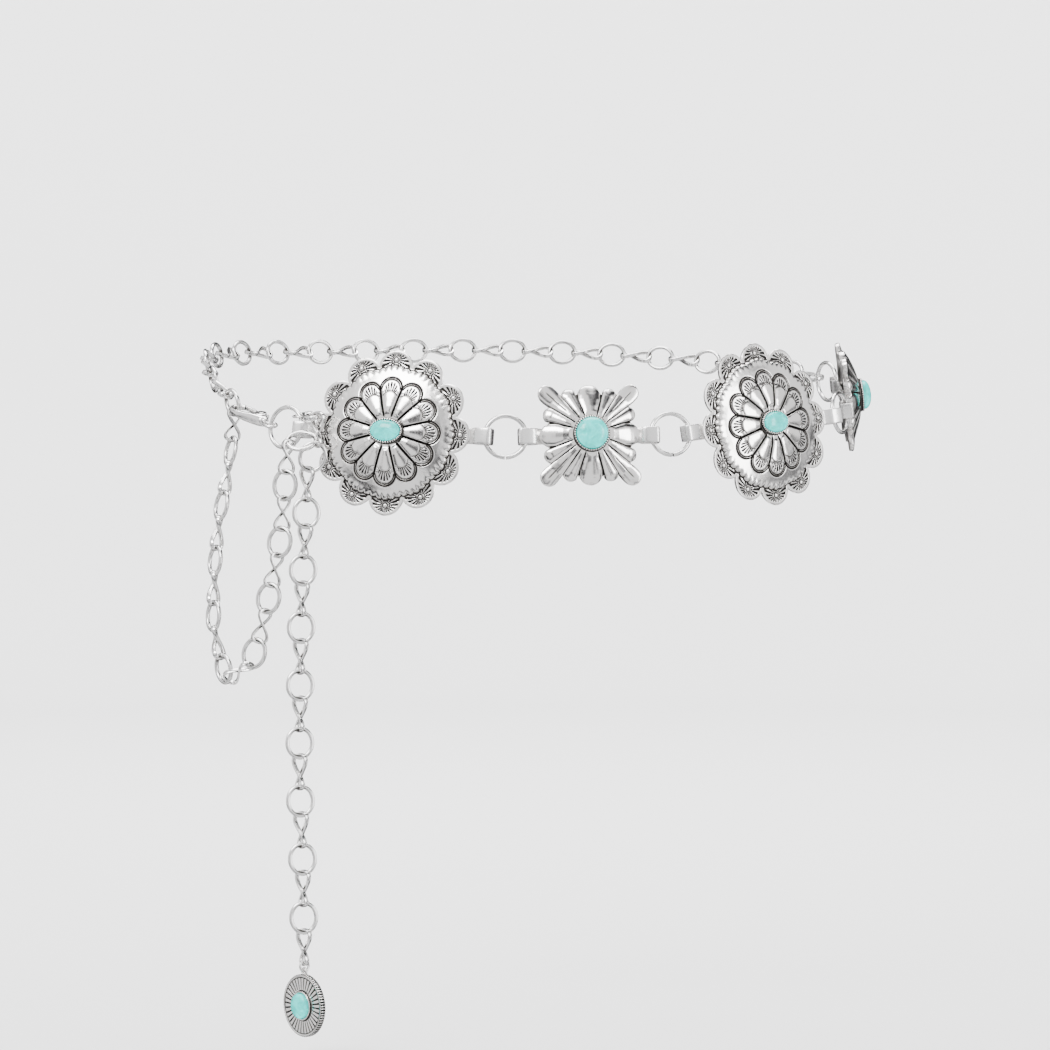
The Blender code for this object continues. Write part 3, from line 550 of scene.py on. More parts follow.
# Height of a round concho by share of its radius
ROUND_PROFILE = (
    (0.00, 6.15),
    (0.20, 6.15),
    (0.30, 5.95),
    (0.42, 5.35),
    (0.54, 4.65),
    (0.66, 3.80),
    (0.74, 3.15),
    (0.775, 2.75),
    (0.792, 1.55),
    (0.81, 1.32),
    (0.95, 1.22),
    (1.00, 1.15),
)
# Places of the stamped work on a round concho's lobes and petals
PIE_CRUST = 0.792
ARCH_CENTRE = 0.515
PETAL_END_CENTRE = 0.385
TICK_CENTRE = 0.40
LOBE_DOT = 0.878


def round_relief(s, t):
    """Height in mm and patina, with some painted shadow, of a round concho at shares of its radius and
    angles.
    """
    span = 2 * np.pi / ROUND_LOBES
    phase = (t + span / 2) % span - span / 2
    x, y = s * np.cos(phase), s * np.sin(phase)

    bump = np.abs(np.cos(2.5 * ROUND_LOBES * t))
    edge = 0.778 + 0.026 * np.cos(phase / span * np.pi) ** 2 + 0.012 * bump
    shares, levels = zip(*ROUND_PROFILE)
    near_edge = step(0.70, 0.775, s) * (1 - step(0.82, 0.87, s))
    height = np.interp(s - (edge - PIE_CRUST) * near_edge, shares, levels)
    patina = 0.85 * line(s - edge - 0.004, 0.0065)
    nick = (1 - bump) ** 3 * step(0.745, 0.772, s) * (1 - step(edge - 0.004, edge, s))
    height = height - 0.18 * nick
    patina = patina + 0.45 * nick

    petals = (1 - step(0.47, 0.50, s)) * step(0.19, 0.24, s)
    height = height + 0.60 * np.cos(phase / span * np.pi) ** 0.8 * petals
    across = s * np.sin(span / 2 - np.abs(phase))
    groove = line(across, 0.0115) * step(0.18, 0.20, s) * (1 - step(0.535, 0.555, s))
    height = height - 0.50 * groove
    patina = patina + 1.3 * groove

    arch = np.hypot(x - ARCH_CENTRE, y)
    above = step(-0.012, 0.0, x - ARCH_CENTRE)
    # The stamped arch lines hold patina. The outer line is made wider and darker than the inner one as
    # painted shadow along the arch's outer border.
    for radius, width, strength in ((0.140, 0.0085, 1.15), (0.116, 0.0055, 1.0)):
        ridge = line(arch - radius, width) * above
        height = height - 0.26 * ridge
        patina = patina + strength * ridge
    height = height + 0.14 * line(arch - 0.128, 0.006) * above
    inner = np.hypot(x - PETAL_END_CENTRE, y)
    within = step(0.104, 0.110, inner) * (1 - step(0.076, 0.084, arch))
    fan = np.arctan2(y, x - TICK_CENTRE)
    tick = step(-0.20, 0.40, np.cos(28 * fan)) * within * (x > 0.43)
    height = height - 0.20 * tick
    patina = patina + 1.1 * tick
    # Painted shadow: the line at each petal's rounded end is darkened to stand for the shade of that
    # step. The dip itself is relief.
    petal_end = line(inner - 0.100, 0.0055) * (np.abs(phase) < span * 0.40) * (x > 0.41)
    height = height - 0.22 * petal_end
    patina = patina + 0.55 * petal_end

    dot = np.hypot(x - LOBE_DOT, y)
    fan = np.arctan2(y, x - LOBE_DOT)
    flange = step(edge + 0.008, edge + 0.022, s)
    rays = step(-0.30, 0.25, np.cos(19 * fan)) * step(0.043, 0.049, dot)
    lobe = np.hypot(x - LOBE_CENTRE, y)
    rays = rays * (1 - step(LOBE_RADIUS - 0.046, LOBE_RADIUS - 0.034, lobe)) * flange
    height = height - 0.26 * rays + 0.45 * np.sqrt(np.clip(1 - (dot / 0.028) ** 2, 0, 1))
    round_dot = line(dot - 0.033, 0.0055) * flange
    height = height - 0.14 * round_dot
    patina = patina + 1.3 * rays + 1.0 * round_dot
    return height, np.clip(patina, 0, 1)


# Rows of points on the top: from one share of the radius to another, how many
ROUND_ROWS = (
    (0.00, 0.19, 5),
    (0.19, 0.68, 54),
    (0.68, 0.77, 6),
    (0.77, 0.83, 11),
    (0.83, 0.975, 18),
    (0.975, 1.00, 4),
)
ROUND_BACK = ((0.985, 0.0), (0.80, 0.0), (0.66, 1.6), (0.34, 4.7), (0.05, 4.85))
ROUND_COLUMNS = 72 * ROUND_LOBES


def relief_shape(rows, radius, outline, relief, flat_share, back, turns):
    """A cast plate: a top of relief, an edge that follows the outline, and a hollow back."""
    shares = [0.002]
    for low, high, count in rows:
        first = 1 if low == 0.0 else 0
        shares += list(np.linspace(low, high, count, endpoint=False))[first:]
    shares.append(1.0)
    reach = outline(turns)
    points, patina = [], []
    for share in shares:
        beyond = max(0.0, (share - flat_share) / (1 - flat_share))
        actual = min(share, flat_share) + beyond * (reach - flat_share) if beyond else share
        actual = np.broadcast_to(actual, turns.shape)
        height, dark = relief(actual, turns)
        edge = np.broadcast_to((reach - actual) * radius * 1000, turns.shape)
        height = height - 0.28 * np.exp(-((edge / 0.22) ** 2))
        points.append((actual, height))
        patina.append(dark * (1 - np.exp(-((edge / 0.35) ** 2))))
    for share, level in back:
        actual = share * (reach if share > flat_share else 1.0)
        points.append((np.broadcast_to(actual, turns.shape), np.full(turns.shape, level)))
        patina.append(np.full(turns.shape, 0.25))
    flat = [
        np.stack([r * radius * np.cos(turns), r * radius * np.sin(turns), h / 1000], -1)
        for r, h in points
    ]
    return capped(flat, patina)


# Petals in a quarter of a square concho: angle, radius of the tip, reach, valleys before and after
SQUARE_PETALS = (
    (0.0, 0.225, 1.00, 0.86, 0.86),
    (27.4, 0.150, 1.02, 0.86, 0.98),
    (45.0, 0.180, 1.355, 0.98, 0.98),
    (62.6, 0.150, 1.02, 0.98, 0.86),
)
SQUARE_VALLEYS = (18.4, 35.6, 54.4, 71.6)
# Height of a petal's ridge
SQUARE_RIDGE = (
    (0.00, 6.95),
    (0.36, 6.95),
    (0.44, 6.85),
    (0.56, 6.20),
    (0.70, 5.20),
    (0.84, 4.10),
    (1.00, 3.10),
    (1.18, 2.55),
    (1.36, 2.05),
)


def square_petal(s, t):
    """For points by radius and angle: the petal's along and across places, half width and tip."""
    edges = (-SQUARE_VALLEYS[0], *SQUARE_VALLEYS)
    degrees = (np.degrees(t) - edges[0]) % 90.0 + edges[0]
    along, across = np.zeros_like(s * t), np.zeros_like(s * t)
    width, tip, reach = np.ones_like(along), np.ones_like(along), np.ones_like(along)
    valley, corner = np.ones_like(along), np.zeros_like(along)
    for k, (middle, tip_radius, far, before, after) in enumerate(SQUARE_PETALS):
        inside = (degrees >= edges[k] - 1e-9) & (degrees <= edges[k + 1] + 1e-9)
        side = np.radians(degrees - middle)
        wedge = np.radians(np.where(side < 0, middle - edges[k], edges[k + 1] - middle))
        here = np.minimum(s * np.sin(wedge), tip_radius * (1.0 + 0.04 * np.sin(wedge)))
        along = np.where(inside, s * np.cos(side), along)
        across = np.where(inside, s * np.sin(side), across)
        width = np.where(inside, here, width)
        tip = np.where(inside, tip_radius, tip)
        reach = np.where(inside, far, reach)
        valley = np.where(inside, np.where(side < 0, before, after), valley)
        corner = np.where(inside & (far > 1.1), 1.0, corner)
    return along, across, width, tip, reach, valley, corner


def square_outline(t):
    _, across, _, tip, reach, valley, _ = square_petal(np.ones_like(t), t)
    middle = reach - tip
    sine = np.abs(across)
    cosine = np.sqrt(1 - sine**2)
    round_end = middle * cosine + np.sqrt(np.clip(tip**2 - (middle * sine) ** 2, 0, None))
    flank = tip / np.maximum(sine, 1e-6)
    found = np.where(sine * middle <= tip, round_end, flank)
    return np.maximum(found, valley)


def square_relief(s, t):
    along, across, width, tip, reach, valley, corner = square_petal(s, t)
    shares, levels = zip(*SQUARE_RIDGE)
    ridge = np.interp(along, shares, levels)
    q = np.clip(np.abs(across) / width, 0, 1)
    body = step(0.37, 0.50, s)
    plump = 0.40 + (6.5 - 1.5 * corner) * width
    height = ridge - body * plump * (1 - np.sqrt(1 - 0.96 * q**2))
    past = np.clip((along - (reach - tip)) / tip, 0, 1)
    height = height - (ridge - 1.75) * (1 - np.sqrt(1 - 0.97 * past**2))
    groove = line((1 - q) * width, 0.011) * step(0.37, 0.40, s)
    inner = 1 - step(0.50, 0.78, s)
    height = height - 0.30 * groove * inner
    patina = groove * (0.60 + 0.9 * inner) * (1 - 0.3 * step(0.80, 1.0, s))
    crease = line(across, 0.013) * step(0.62, 0.72, s) * (1 - step(1.16, 1.24, s)) * corner
    height = height - 0.12 * crease
    patina = patina + 0.5 * crease
    return height, np.clip(patina, 0, 1)


SQUARE_ROWS = (
    (0.00, 0.36, 4),
    (0.36, 0.80, 34),
    (0.80, 0.975, 20),
    (0.975, 1.00, 4),
)
SQUARE_BACK = ((0.985, 0.0), (0.72, 0.0), (0.60, 1.6), (0.36, 5.5), (0.05, 5.6))
SQUARE_COLUMNS = 720


def square_turns():
    """Angles that crowd towards the valleys between the petals."""
    edges = (-SQUARE_VALLEYS[0], *SQUARE_VALLEYS)
    found = []
    steps = SQUARE_COLUMNS // 16
    for quarter in range(4):
        for low, high in zip(edges, edges[1:]):
            for k in range(steps):
                q = k / steps
                q = 0.5 - 0.5 * math.cos(math.pi * q) if 0 < q < 1 else q
                found.append(90.0 * quarter + low + (high - low) * (0.6 * q + 0.4 * k / steps))
    return np.radians(np.array(found))


def bezel(halves, base, beads, tall=1.8, columns=480):
    """A bezel wall under a ring of beads that holds the stone; with no beads its top is plain."""
    t = circle(columns)
    bead = np.abs(np.sin(beads * t / 2)) if beads else np.ones_like(t)
    points, patina = [], []
    wall = (
        (-0.02, 0.30, 1.0),
        (1.10, 0.0, 1.0),
        (1.16, 0.30, 0.5),
        (0.98, 0.55, 0.3),
        (0.72, 0.62, 1.0),
        (0.66, tall - 0.80, 0.6),
    )
    for grow, level, dark in wall:
        points.append((grow + 0 * t, level + 0 * t))
        patina.append(dark + 0 * t)
    size = 0.16 + 0.26 * np.sqrt(bead) if beads else 0.30 + 0 * t
    for k in range(9):
        a = math.radians(-40 + 220 * k / 8)
        points.append((0.36 + size * math.cos(a), tall - 0.42 + size * math.sin(a)))
        patina.append(1.2 * (1 - bead) ** 1.5 + 0.4 * (k in (0, 8)))
    shape = []
    for grow, level in points:
        x = (halves[0] + STONE_GAP / 2 + grow / 1000) * np.cos(t)
        y = (halves[1] + STONE_GAP / 2 + grow / 1000) * np.sin(t)
        shape.append(np.stack([x, y, base + level / 1000], -1))
    faces = grid_faces(len(shape), columns, True)
    return np.concatenate(shape), faces, np.clip(np.concatenate(patina), 0, 1)


def dome_stone(halves, height, base, girdle=0.378, columns=96, rows=20):
    """A cabochon: an upright girdle, then a dome."""
    t = circle(columns)
    levels = [(1.0, 0.0), (1.0, girdle)]
    for i in range(1, rows):
        a = math.pi / 2 * i / rows
        levels.append((math.cos(a), girdle + (1 - girdle) * math.sin(a)))
    points = []
    for share, level in levels:
        x, y = halves[0] * share * np.cos(t), halves[1] * share * np.sin(t)
        points.append(np.stack([x, y, base + height * level + 0 * t], -1))
    return capped(points)


def strap_shape(pitch):
    """One flat strip that runs round both rings: two folded loops and a doubled bar between them."""
    wire = RING_WIRE / 2
    sag = RING_RADIUS - math.sqrt(RING_RADIUS**2 - (STRAP_HEIGHT / 2) ** 2)
    thick = STRAP_THICKNESS
    tip = pitch / 2 + wire + sag + 3 * GAP + thick / 2
    inner = pitch / 2 - wire - GAP - LOOP_SLACK - thick / 2
    half = wire + GAP + LOOP_SLACK + thick / 2
    corner = 0.0011
    right = [
        (inner - 0.0042, thick * 0.27),
        (inner - 0.0022, thick * 0.30),
        (inner - 0.0010, half * 0.72),
        (inner + 0.0002, half),
        (tip - corner - 0.0004, half),
    ]
    for k in range(1, 8):
        a = math.pi / 2 * k / 8
        right.append((tip - corner + corner * math.sin(a), half - corner + corner * math.cos(a)))
    upper = right + [(tip, half - corner * 1.4), (tip, 0.0)]
    loop = upper + [(x, -z) for x, z in reversed(upper[:-1])]
    whole = loop + [(-x, -z) for x, z in loop]
    path = [(x, z, 0.0) for x, z in whole]
    count = len(path)
    points, faces, patina = bar(path, [thick / 2] * count, [STRAP_HEIGHT / 2] * count, 16, True, 0.35)
    return np.stack([points[:, 0], -points[:, 2], points[:, 1]], -1), faces, patina


def ring_shape(radius, wire, sides=72, wire_sides=14, cut=0.0):
    """A wire ring; a cut leaves it open by that length, at its bottom."""
    half = cut / radius / 2
    count = sides if not cut else sides + 1
    turns = [-math.pi / 2 + half + (2 * math.pi - 2 * half) * i / sides for i in range(count)]
    path = [(radius * math.cos(t), radius * math.sin(t), 0.0) for t in turns]
    return bar(path, [wire / 2] * count, [wire / 2] * count, wire_sides, not cut)


# Links


def oval_shape():
    half = (OVAL_PITCH + OVAL_WIRE) / 2
    across = (OVAL_WIDTH - OVAL_WIRE) / 2
    sides = 36
    path = []
    for i in range(sides):
        t = 2 * math.pi * i / sides
        path.append((half * math.cos(t), across * math.sin(t), 0.0))
    halves = [OVAL_WIRE / 2] * sides
    points, faces, patina = bar(path, halves, [h * 0.97 for h in halves], 10, True, 0.8)
    core = OVAL_WIRE * 0.3
    inner = np.hypot(points[:, 0] / (half - core), points[:, 1] / (across - core)) < 1
    ends = np.clip((np.abs(points[:, 0]) / half - 0.62) / 0.3, 0, 1)
    return points, faces, patina + 0.55 * inner * ends


def eight_shape():
    half = (EIGHT_PITCH + EIGHT_THICKNESS) / 2
    across = (EIGHT_WIDTH - EIGHT_THICKNESS) / 2
    lift = EIGHT_DEPTH / 2 + LINK_SINK
    sides = 48
    path = []
    for i in range(sides):
        t = 2 * math.pi * (i + 0.5) / sides
        path.append((half * math.cos(t), across * math.sin(2 * t), lift * math.sin(t)))
    thin, deep = [EIGHT_THICKNESS / 2] * sides, [EIGHT_DEPTH / 2] * sides
    points, faces, patina = bar(path, thin, deep, 10, True, 0.55)
    middle = np.clip(1 - np.abs(points[:, 0]) / (half * 0.30), 0, 1)
    buried = np.clip(1 - np.abs(points[:, 2]) / (EIGHT_DEPTH * 0.4), 0, 1)
    return points, faces, patina + 0.9 * middle * buried


# Clasps


def lathe(profile, sides, centre):
    """A round body about Z from (radius, height) rows, standing at a place."""
    t = circle(sides)
    x, y = centre
    return capped([np.stack([x + r * np.cos(t), y + r * np.sin(t), z + 0 * t], -1) for r, z in profile])


def plate_shape(outline, middle, low, high, edge):
    """A flat plate with an outline, whose high side has a rounded edge."""
    flat = np.array(outline)
    centre = np.array(middle)
    reach = np.linalg.norm(flat - centre, axis=1)[:, None]
    rows = []
    drop = math.copysign(edge, high - low)
    for shrink, level in ((0, low), (0, high - drop), (0.3 * edge, high - 0.3 * drop), (edge, high)):
        ring_points = centre + (flat - centre) * (1 - shrink / reach)
        rows.append(np.column_stack([ring_points, np.full(len(flat), level)]))
    return capped(rows)


def clasp_shapes(size):
    """Body and lever of a lobster clasp, in the clasp's frame."""
    length, wide, wire, thick = size["length"], size["half_width"], size["wire"], size["thickness"]
    pivot = (CLASP_GATE[0][0] * length, CLASP_GATE[0][1] * wide)
    knuckle = wire * KNUCKLE_SHARE
    lever_half = thick * LEVER_SHARE
    table = smooth_table(CLASP_SPINE, 10)
    path = [(x * length, y * wide, 0.0) for x, y, _, _ in table]
    points, faces, patina = bar(
        path, table[:, 2] * wire * 0.93, table[:, 3] * thick * 0.97, 24, False, 0.85
    )
    seat_start, seat_end = pivot[0] - knuckle - 3 * GAP, SEAT_END_SHARE * length
    seat_top = pivot[1] + knuckle + 2 * GAP
    low = (points[:, 0] > seat_start) & (points[:, 0] < seat_end) & (points[:, 1] < seat_top)
    points[low, 1] = seat_top
    claw = (points, faces, patina + 0.5 * low)
    eye_radius = size["eye_hole"] + size["eye_wire"] / 2
    eye = ring_shape(eye_radius, size["eye_wire"], 48, 12)
    neck_end = max(eye_radius + size["neck"], 0.17 * length)
    half = size["eye_wire"] / 2
    neck_path = [(eye_radius + (neck_end - eye_radius) * k / 6, 0.0, 0.0) for k in range(7)]
    bulge = [half * (0.95 + 0.45 * (k / 6) ** 2) for k in range(7)]
    shapes = [claw, eye, bar(neck_path, bulge, bulge, 14, False)]

    radius = CHEEK_SHARE * wire
    root = CLASP_SPINE[2][1] * wide
    turns = [math.pi * (1 + i / 24) for i in range(25)]
    outline = [(pivot[0] + radius * math.cos(t), pivot[1] + radius * math.sin(t)) for t in turns]
    outline += [(pivot[0] + radius * 0.97, pivot[1] + 0.5 * (root - pivot[1]))]
    outline += [(pivot[0] + radius * 0.8, root), (pivot[0] - radius * 0.8, root)]
    outline += [(pivot[0] - radius * 0.97, pivot[1] + 0.5 * (root - pivot[1]))]
    for side in (-1, 1):
        inner, outer = lever_half + GAP, thick * 0.49
        shapes.append(plate_shape(outline, pivot, side * inner, side * outer, 0.00018))
        head = ((0.40, -0.0002), (0.40, 0.00006), (0.25, 0.00016))
        rivet = lathe([(r * wire, side * (outer + rise)) for r, rise in head], 28, pivot)
        shapes.append((rivet[0], rivet[1], rivet[2] + 0.15))
    pin = knuckle - 0.0008
    shapes.append(lathe([(pin, -thick * 0.46), (pin, thick * 0.46)], 16, pivot))

    tip = np.array([CLASP_SPINE[-1][0] * length, CLASP_SPINE[-1][1] * wide])
    last = np.array([CLASP_GATE[-1][0] * length, CLASP_GATE[-1][1] * wide])
    reach = tip - last
    end = tip - reach / np.linalg.norm(reach) * (GAP + LEVER_TIP_GAP_SHARE * wire)
    gate = [(x * length, y * wide, wire * a) for x, y, a in CLASP_GATE]
    gate = smooth_table([*gate, (end[0], end[1], wire * LEVER_TIP_SHARE)], 10)
    arm_path = [(x, y, 0.0) for x, y, _ in gate]
    arm = bar(arm_path, gate[:, 2] * 0.84, [lever_half * 0.92] * len(gate), 16, False, 0.9)
    near, flat = knuckle * 0.9, lever_half * 0.93
    profile = ((near, -flat), (knuckle, -flat * 0.9), (knuckle, flat * 0.9), (near, flat))
    disc = lathe(profile, 36, pivot)
    foot = (
        (CLASP_GATE[0][0] + CLASP_GATE[1][0]) / 2 * length,
        (CLASP_GATE[0][1] + CLASP_GATE[1][1]) / 2 * wide,
    )
    thumb = smooth_table(THUMB, 8)
    thumb_path = [(foot[0] + x * length, foot[1] + y * wide, 0.0) for x, y, _ in thumb]
    deep = [lever_half * 0.78] * len(thumb)
    thumb_bar = bar(thumb_path, thumb[:, 2] * wire * 0.86, deep, 16, False, 0.9)
    return merged(shapes), merged([arm, disc, thumb_bar])


# Pendant


def disc_shape():
    """A coin with reeded edge, a rim and radial slots round its stone; both faces."""
    reeds = 72
    t = circle(reeds * 8)
    reed = 0.5 + 0.5 * np.cos(reeds * t)
    half = DISC_THICKNESS / 2 * 1000
    points, patina = [], []

    def row(share, level, reeded, dark):
        reach = share * DISC_RADIUS - reeded * 0.00028 * (1 - reed)
        level = level + 0 * t
        points.append(np.stack([reach * np.cos(t), reach * np.sin(t), level / 1000], -1))
        patina.append(np.clip(dark + reeded * 0.9 * (1 - reed), 0, 1) + 0 * t)

    row(0.01, -half, 0, 0.1)
    row(0.86, -half, 0, 0.2)
    row(0.88, -half + 0.15, 0, 0.7)
    row(0.90, -half, 0, 0.1)
    row(0.965, -half, 0, 0.0)
    row(0.99, -half + 0.12, 1, 0.0)
    row(1.0, -half + 0.3, 1, 0.0)
    row(1.0, 0.0, 1, 0.0)
    row(1.0, half - 0.3, 1, 0.0)
    row(0.99, half - 0.12, 1, 0.0)
    row(0.965, half, 0, 0.0)
    row(0.925, half, 0, 0.0)
    field = half - DISC_FIELD_DEPTH * 1000
    slots = 34
    slot = step(0.30, 0.75, np.cos(slots * t))
    for share in np.linspace(0.905, 0.40, 34):
        window = step(0.50, 0.54, share) * (1 - step(0.855, 0.885, share))
        collar = 0.95 * line(share - 0.895, 0.011) + 0.8 * line(share - 0.485, 0.015)
        row(share, field + 0.30 - 0.42 * slot * window, 0, np.clip(slot * window + collar, 0, 1))
    return capped(points, patina)


# Materials


def node(tree, kind, place, **values):
    made = tree.nodes.new(kind)
    made.location = place
    for name, value in values.items():
        if name in made.inputs:
            made.inputs[name].default_value = value
        else:
            setattr(made, name, value)
    return made


def map_range(tree, place, source, before, after):
    made = node(tree, "ShaderNodeMapRange", place)
    tree.links.new(source, made.inputs["Value"])
    for name, value in zip(("From Min", "From Max", "To Min", "To Max"), (*before, *after)):
        made.inputs[name].default_value = value
    return made


def ramp(tree, place, stops):
    made = tree.nodes.new("ShaderNodeValToRGB")
    made.location = place
    elements = made.color_ramp.elements
    while len(elements) < len(stops):
        elements.new(0.5)
    for element, (position, colour) in zip(elements, stops):
        element.position = position
        element.color = (*colour, 1.0)
    return made


def new_material(name, **values):
    """A material, its tree and its shader, whose sockets get the values; _ stands for a space."""
    material = bpy.data.materials.new(name)
    material.use_nodes = True
    shader = material.node_tree.nodes["Principled BSDF"]
    for key, value in values.items():
        shader.inputs[key.replace("_", " ")].default_value = value
    return material, material.node_tree, shader


def silver_material(name, wear, tint, rough):
    """Antiqued silver: bright worn metal, dark in the recesses, with a cast skin."""
    material, tree, shader = new_material(name, Metallic=1.0)
    link = tree.links.new
    coordinates = node(tree, "ShaderNodeTexCoord", (-1400, 0))
    place = coordinates.outputs["Object"]
    attribute = node(tree, "ShaderNodeAttribute", (-1400, 300), attribute_name="patina")
    clouds = node(tree, "ShaderNodeTexNoise", (-1200, 0), Scale=140.0, Detail=4.0, Roughness=0.6)
    fine = node(tree, "ShaderNodeTexNoise", (-1200, -250), Scale=1400.0, Detail=3.0, Roughness=0.55)
    waves = node(tree, "ShaderNodeTexNoise", (-1200, -500), Scale=260.0, Detail=2.0, Roughness=0.5)
    for texture in (clouds, fine, waves):
        link(place, texture.inputs["Vector"])
    blotch = node(tree, "ShaderNodeMath", (-1000, 200), operation="MULTIPLY_ADD")
    link(clouds.outputs["Fac"], blotch.inputs[0])
    blotch.inputs[1].default_value = wear
    link(attribute.outputs["Fac"], blotch.inputs[2])
    worn = (wear * 0.62, wear * 0.5 + 0.60)
    darkness = map_range(tree, (-800, 200), blotch.outputs[0], worn, (0.0, 1.0))
    colours = ramp(
        tree,
        (-550, 250),
        (
            (0.0, tint),
            (0.22, tuple(0.84 * c for c in tint)),
            (0.50, (0.16, 0.15, 0.14)),
            (0.80, (0.022, 0.020, 0.019)),
        ),
    )
    link(darkness.outputs["Result"], colours.inputs["Fac"])
    link(colours.outputs["Color"], shader.inputs["Base Color"])
    spread = (rough - 0.06, rough + 0.10)
    roughness = map_range(tree, (-550, -50), fine.outputs["Fac"], (0.0, 1.0), spread)
    duller = node(tree, "ShaderNodeMath", (-300, -50), operation="MULTIPLY_ADD")
    link(darkness.outputs["Result"], duller.inputs[0])
    duller.inputs[1].default_value = 0.35
    link(roughness.outputs["Result"], duller.inputs[2])
    link(duller.outputs[0], shader.inputs["Roughness"])
    skin = node(tree, "ShaderNodeBump", (-550, -350), Strength=0.35, Distance=0.00012)
    link(waves.outputs["Fac"], skin.inputs["Height"])
    grain = node(tree, "ShaderNodeBump", (-300, -350), Strength=0.20, Distance=0.00003)
    link(fine.outputs["Fac"], grain.inputs["Height"])
    link(skin.outputs["Normal"], grain.inputs["Normal"])
    link(grain.outputs["Normal"], shader.inputs["Normal"])
    return material


def turquoise_material():
    """Turquoise with clouds and fine pale veins."""
    values = {"Coat_Weight": 0.3, "Coat_Roughness": 0.08, "Roughness": 0.22}
    values |= {"Subsurface_Weight": 0.12, "Subsurface_Scale": 0.0015}
    material, tree, shader = new_material("turquoise", **values)
    link = tree.links.new
    coordinates = node(tree, "ShaderNodeTexCoord", (-1300, 0))
    cloudy = {"Scale": 260.0, "Detail": 6.0, "Roughness": 0.62, "Distortion": 0.7}
    clouds = node(tree, "ShaderNodeTexNoise", (-1000, 200), **cloudy)
    edges = {"Scale": 420.0, "feature": "DISTANCE_TO_EDGE"}
    cells = node(tree, "ShaderNodeTexVoronoi", (-1000, -150), **edges)
    for texture in (clouds, cells):
        link(coordinates.outputs["Object"], texture.inputs["Vector"])
    colours = ramp(
        tree,
        (-700, 200),
        (
            (0.30, (0.002, 0.40, 0.36)),
            (0.46, (0.006, 0.58, 0.53)),
            (0.58, (0.016, 0.72, 0.67)),
            (0.74, (0.17, 0.88, 0.84)),
        ),
    )
    link(clouds.outputs["Fac"], colours.inputs["Fac"])
    veins = ramp(tree, (-700, -150), ((0.0, (0.80, 0.86, 0.84)), (0.05, (1.0, 1.0, 1.0))))
    link(cells.outputs["Distance"], veins.inputs["Fac"])
    mix = node(tree, "ShaderNodeMix", (-400, 150), data_type="RGBA", blend_type="MULTIPLY")
    mix.inputs["Factor"].default_value = 0.6
    link(colours.outputs["Color"], mix.inputs[6])
    link(veins.outputs["Color"], mix.inputs[7])
    link(mix.outputs[2], shader.inputs["Base Color"])
    bump = node(tree, "ShaderNodeBump", (-400, -250), Strength=0.12, Distance=0.00005)
    link(clouds.outputs["Fac"], bump.inputs["Height"])
    link(bump.outputs["Normal"], shader.inputs["Normal"])
    return material


SILVER_TINT = (0.93, 0.91, 0.89)
silver_cast = silver_material("silver_cast", 0.26, SILVER_TINT, 0.15)
silver_link = silver_material("silver_links", 0.32, (0.92, 0.91, 0.90), 0.17)
silver_strap = silver_material("silver_straps", 0.16, (0.92, 0.91, 0.90), 0.26)
turquoise = turquoise_material()


# The belt


def build_conchos(places):
    counts = {"ring": 0, "round": 0, "square": 0}
    turns = circle(ROUND_COLUMNS)
    round_plate = relief_shape(
        ROUND_ROWS, ROUND_RADIUS, lobed_outline, round_relief, 0.80, ROUND_BACK, turns
    )
    turns = square_turns()
    square_plate = relief_shape(
        SQUARE_ROWS, SQUARE_HALF_WIDTH, square_outline, square_relief, 0.78, SQUARE_BACK, turns
    )
    # By kind: plate, stone's half axes, dome, stone's height, beads, strap's pitch
    round_sizes = (OVAL_STONE, ROUND_DOME_HEIGHT, OVAL_STONE_HEIGHT, 40, ROUND_STRAP_PITCH)
    square_sizes = (ROUND_STONE, SQUARE_DOME_HEIGHT, ROUND_STONE_HEIGHT, 44, SQUARE_STRAP_PITCH)
    plates = {"round": (round_plate, *round_sizes), "square": (square_plate, *square_sizes)}
    lift = np.array([0.0, 0.0, PLATE_LIFT])
    matrices = []
    for start, end, kind in zip(places, places[1:], FRONT_ROW):
        matrix = frame_matrix((start + end) / 2, end - start, leaned(end - start))
        matrices.append(matrix)
        counts[kind] += 1
        number = counts[kind]
        if kind == "ring":
            shape = ring_shape(RING_RADIUS, RING_WIRE, 96, 16, cut=0.0005)
            piece(f"split_ring_{number}", shape, silver_link, "belt", [f"ring_{number}"], matrix)
            continue
        plate, halves, dome, tall, beads, pitch = plates[kind]
        top = (plate[0] + lift, plate[1], plate[2])
        setting = bezel(halves, PLATE_LIFT + dome - 0.0001, beads)
        nodes = [f"concho_{kind}_{number}"]
        shape = merged([top, setting])
        piece(f"{kind}_concho_{number}", shape, silver_cast, "belt", nodes, matrix)
        shape = strap_shape(pitch)
        piece(f"{kind}_strap_{number}", shape, silver_strap, "belt", nodes, matrix, sharp=60.0)
        shape = dome_stone(halves, tall, PLATE_LIFT + dome + BEZEL_SEAT + STONE_GAP)
        nodes = [f"stone_{kind}_{number}"]
        piece(f"{kind}_stone_{number}", shape, turquoise, "belt", nodes, matrix)
    return matrices[0]


def build_chain(name, links, replaced):
    oval, eight = oval_shape(), eight_shape()
    shapes = [carried(oval, m) for m in links["oval"]] + [carried(eight, m) for m in links["eight"]]
    piece(name, merged(shapes), silver_link, "belt", [replaced])


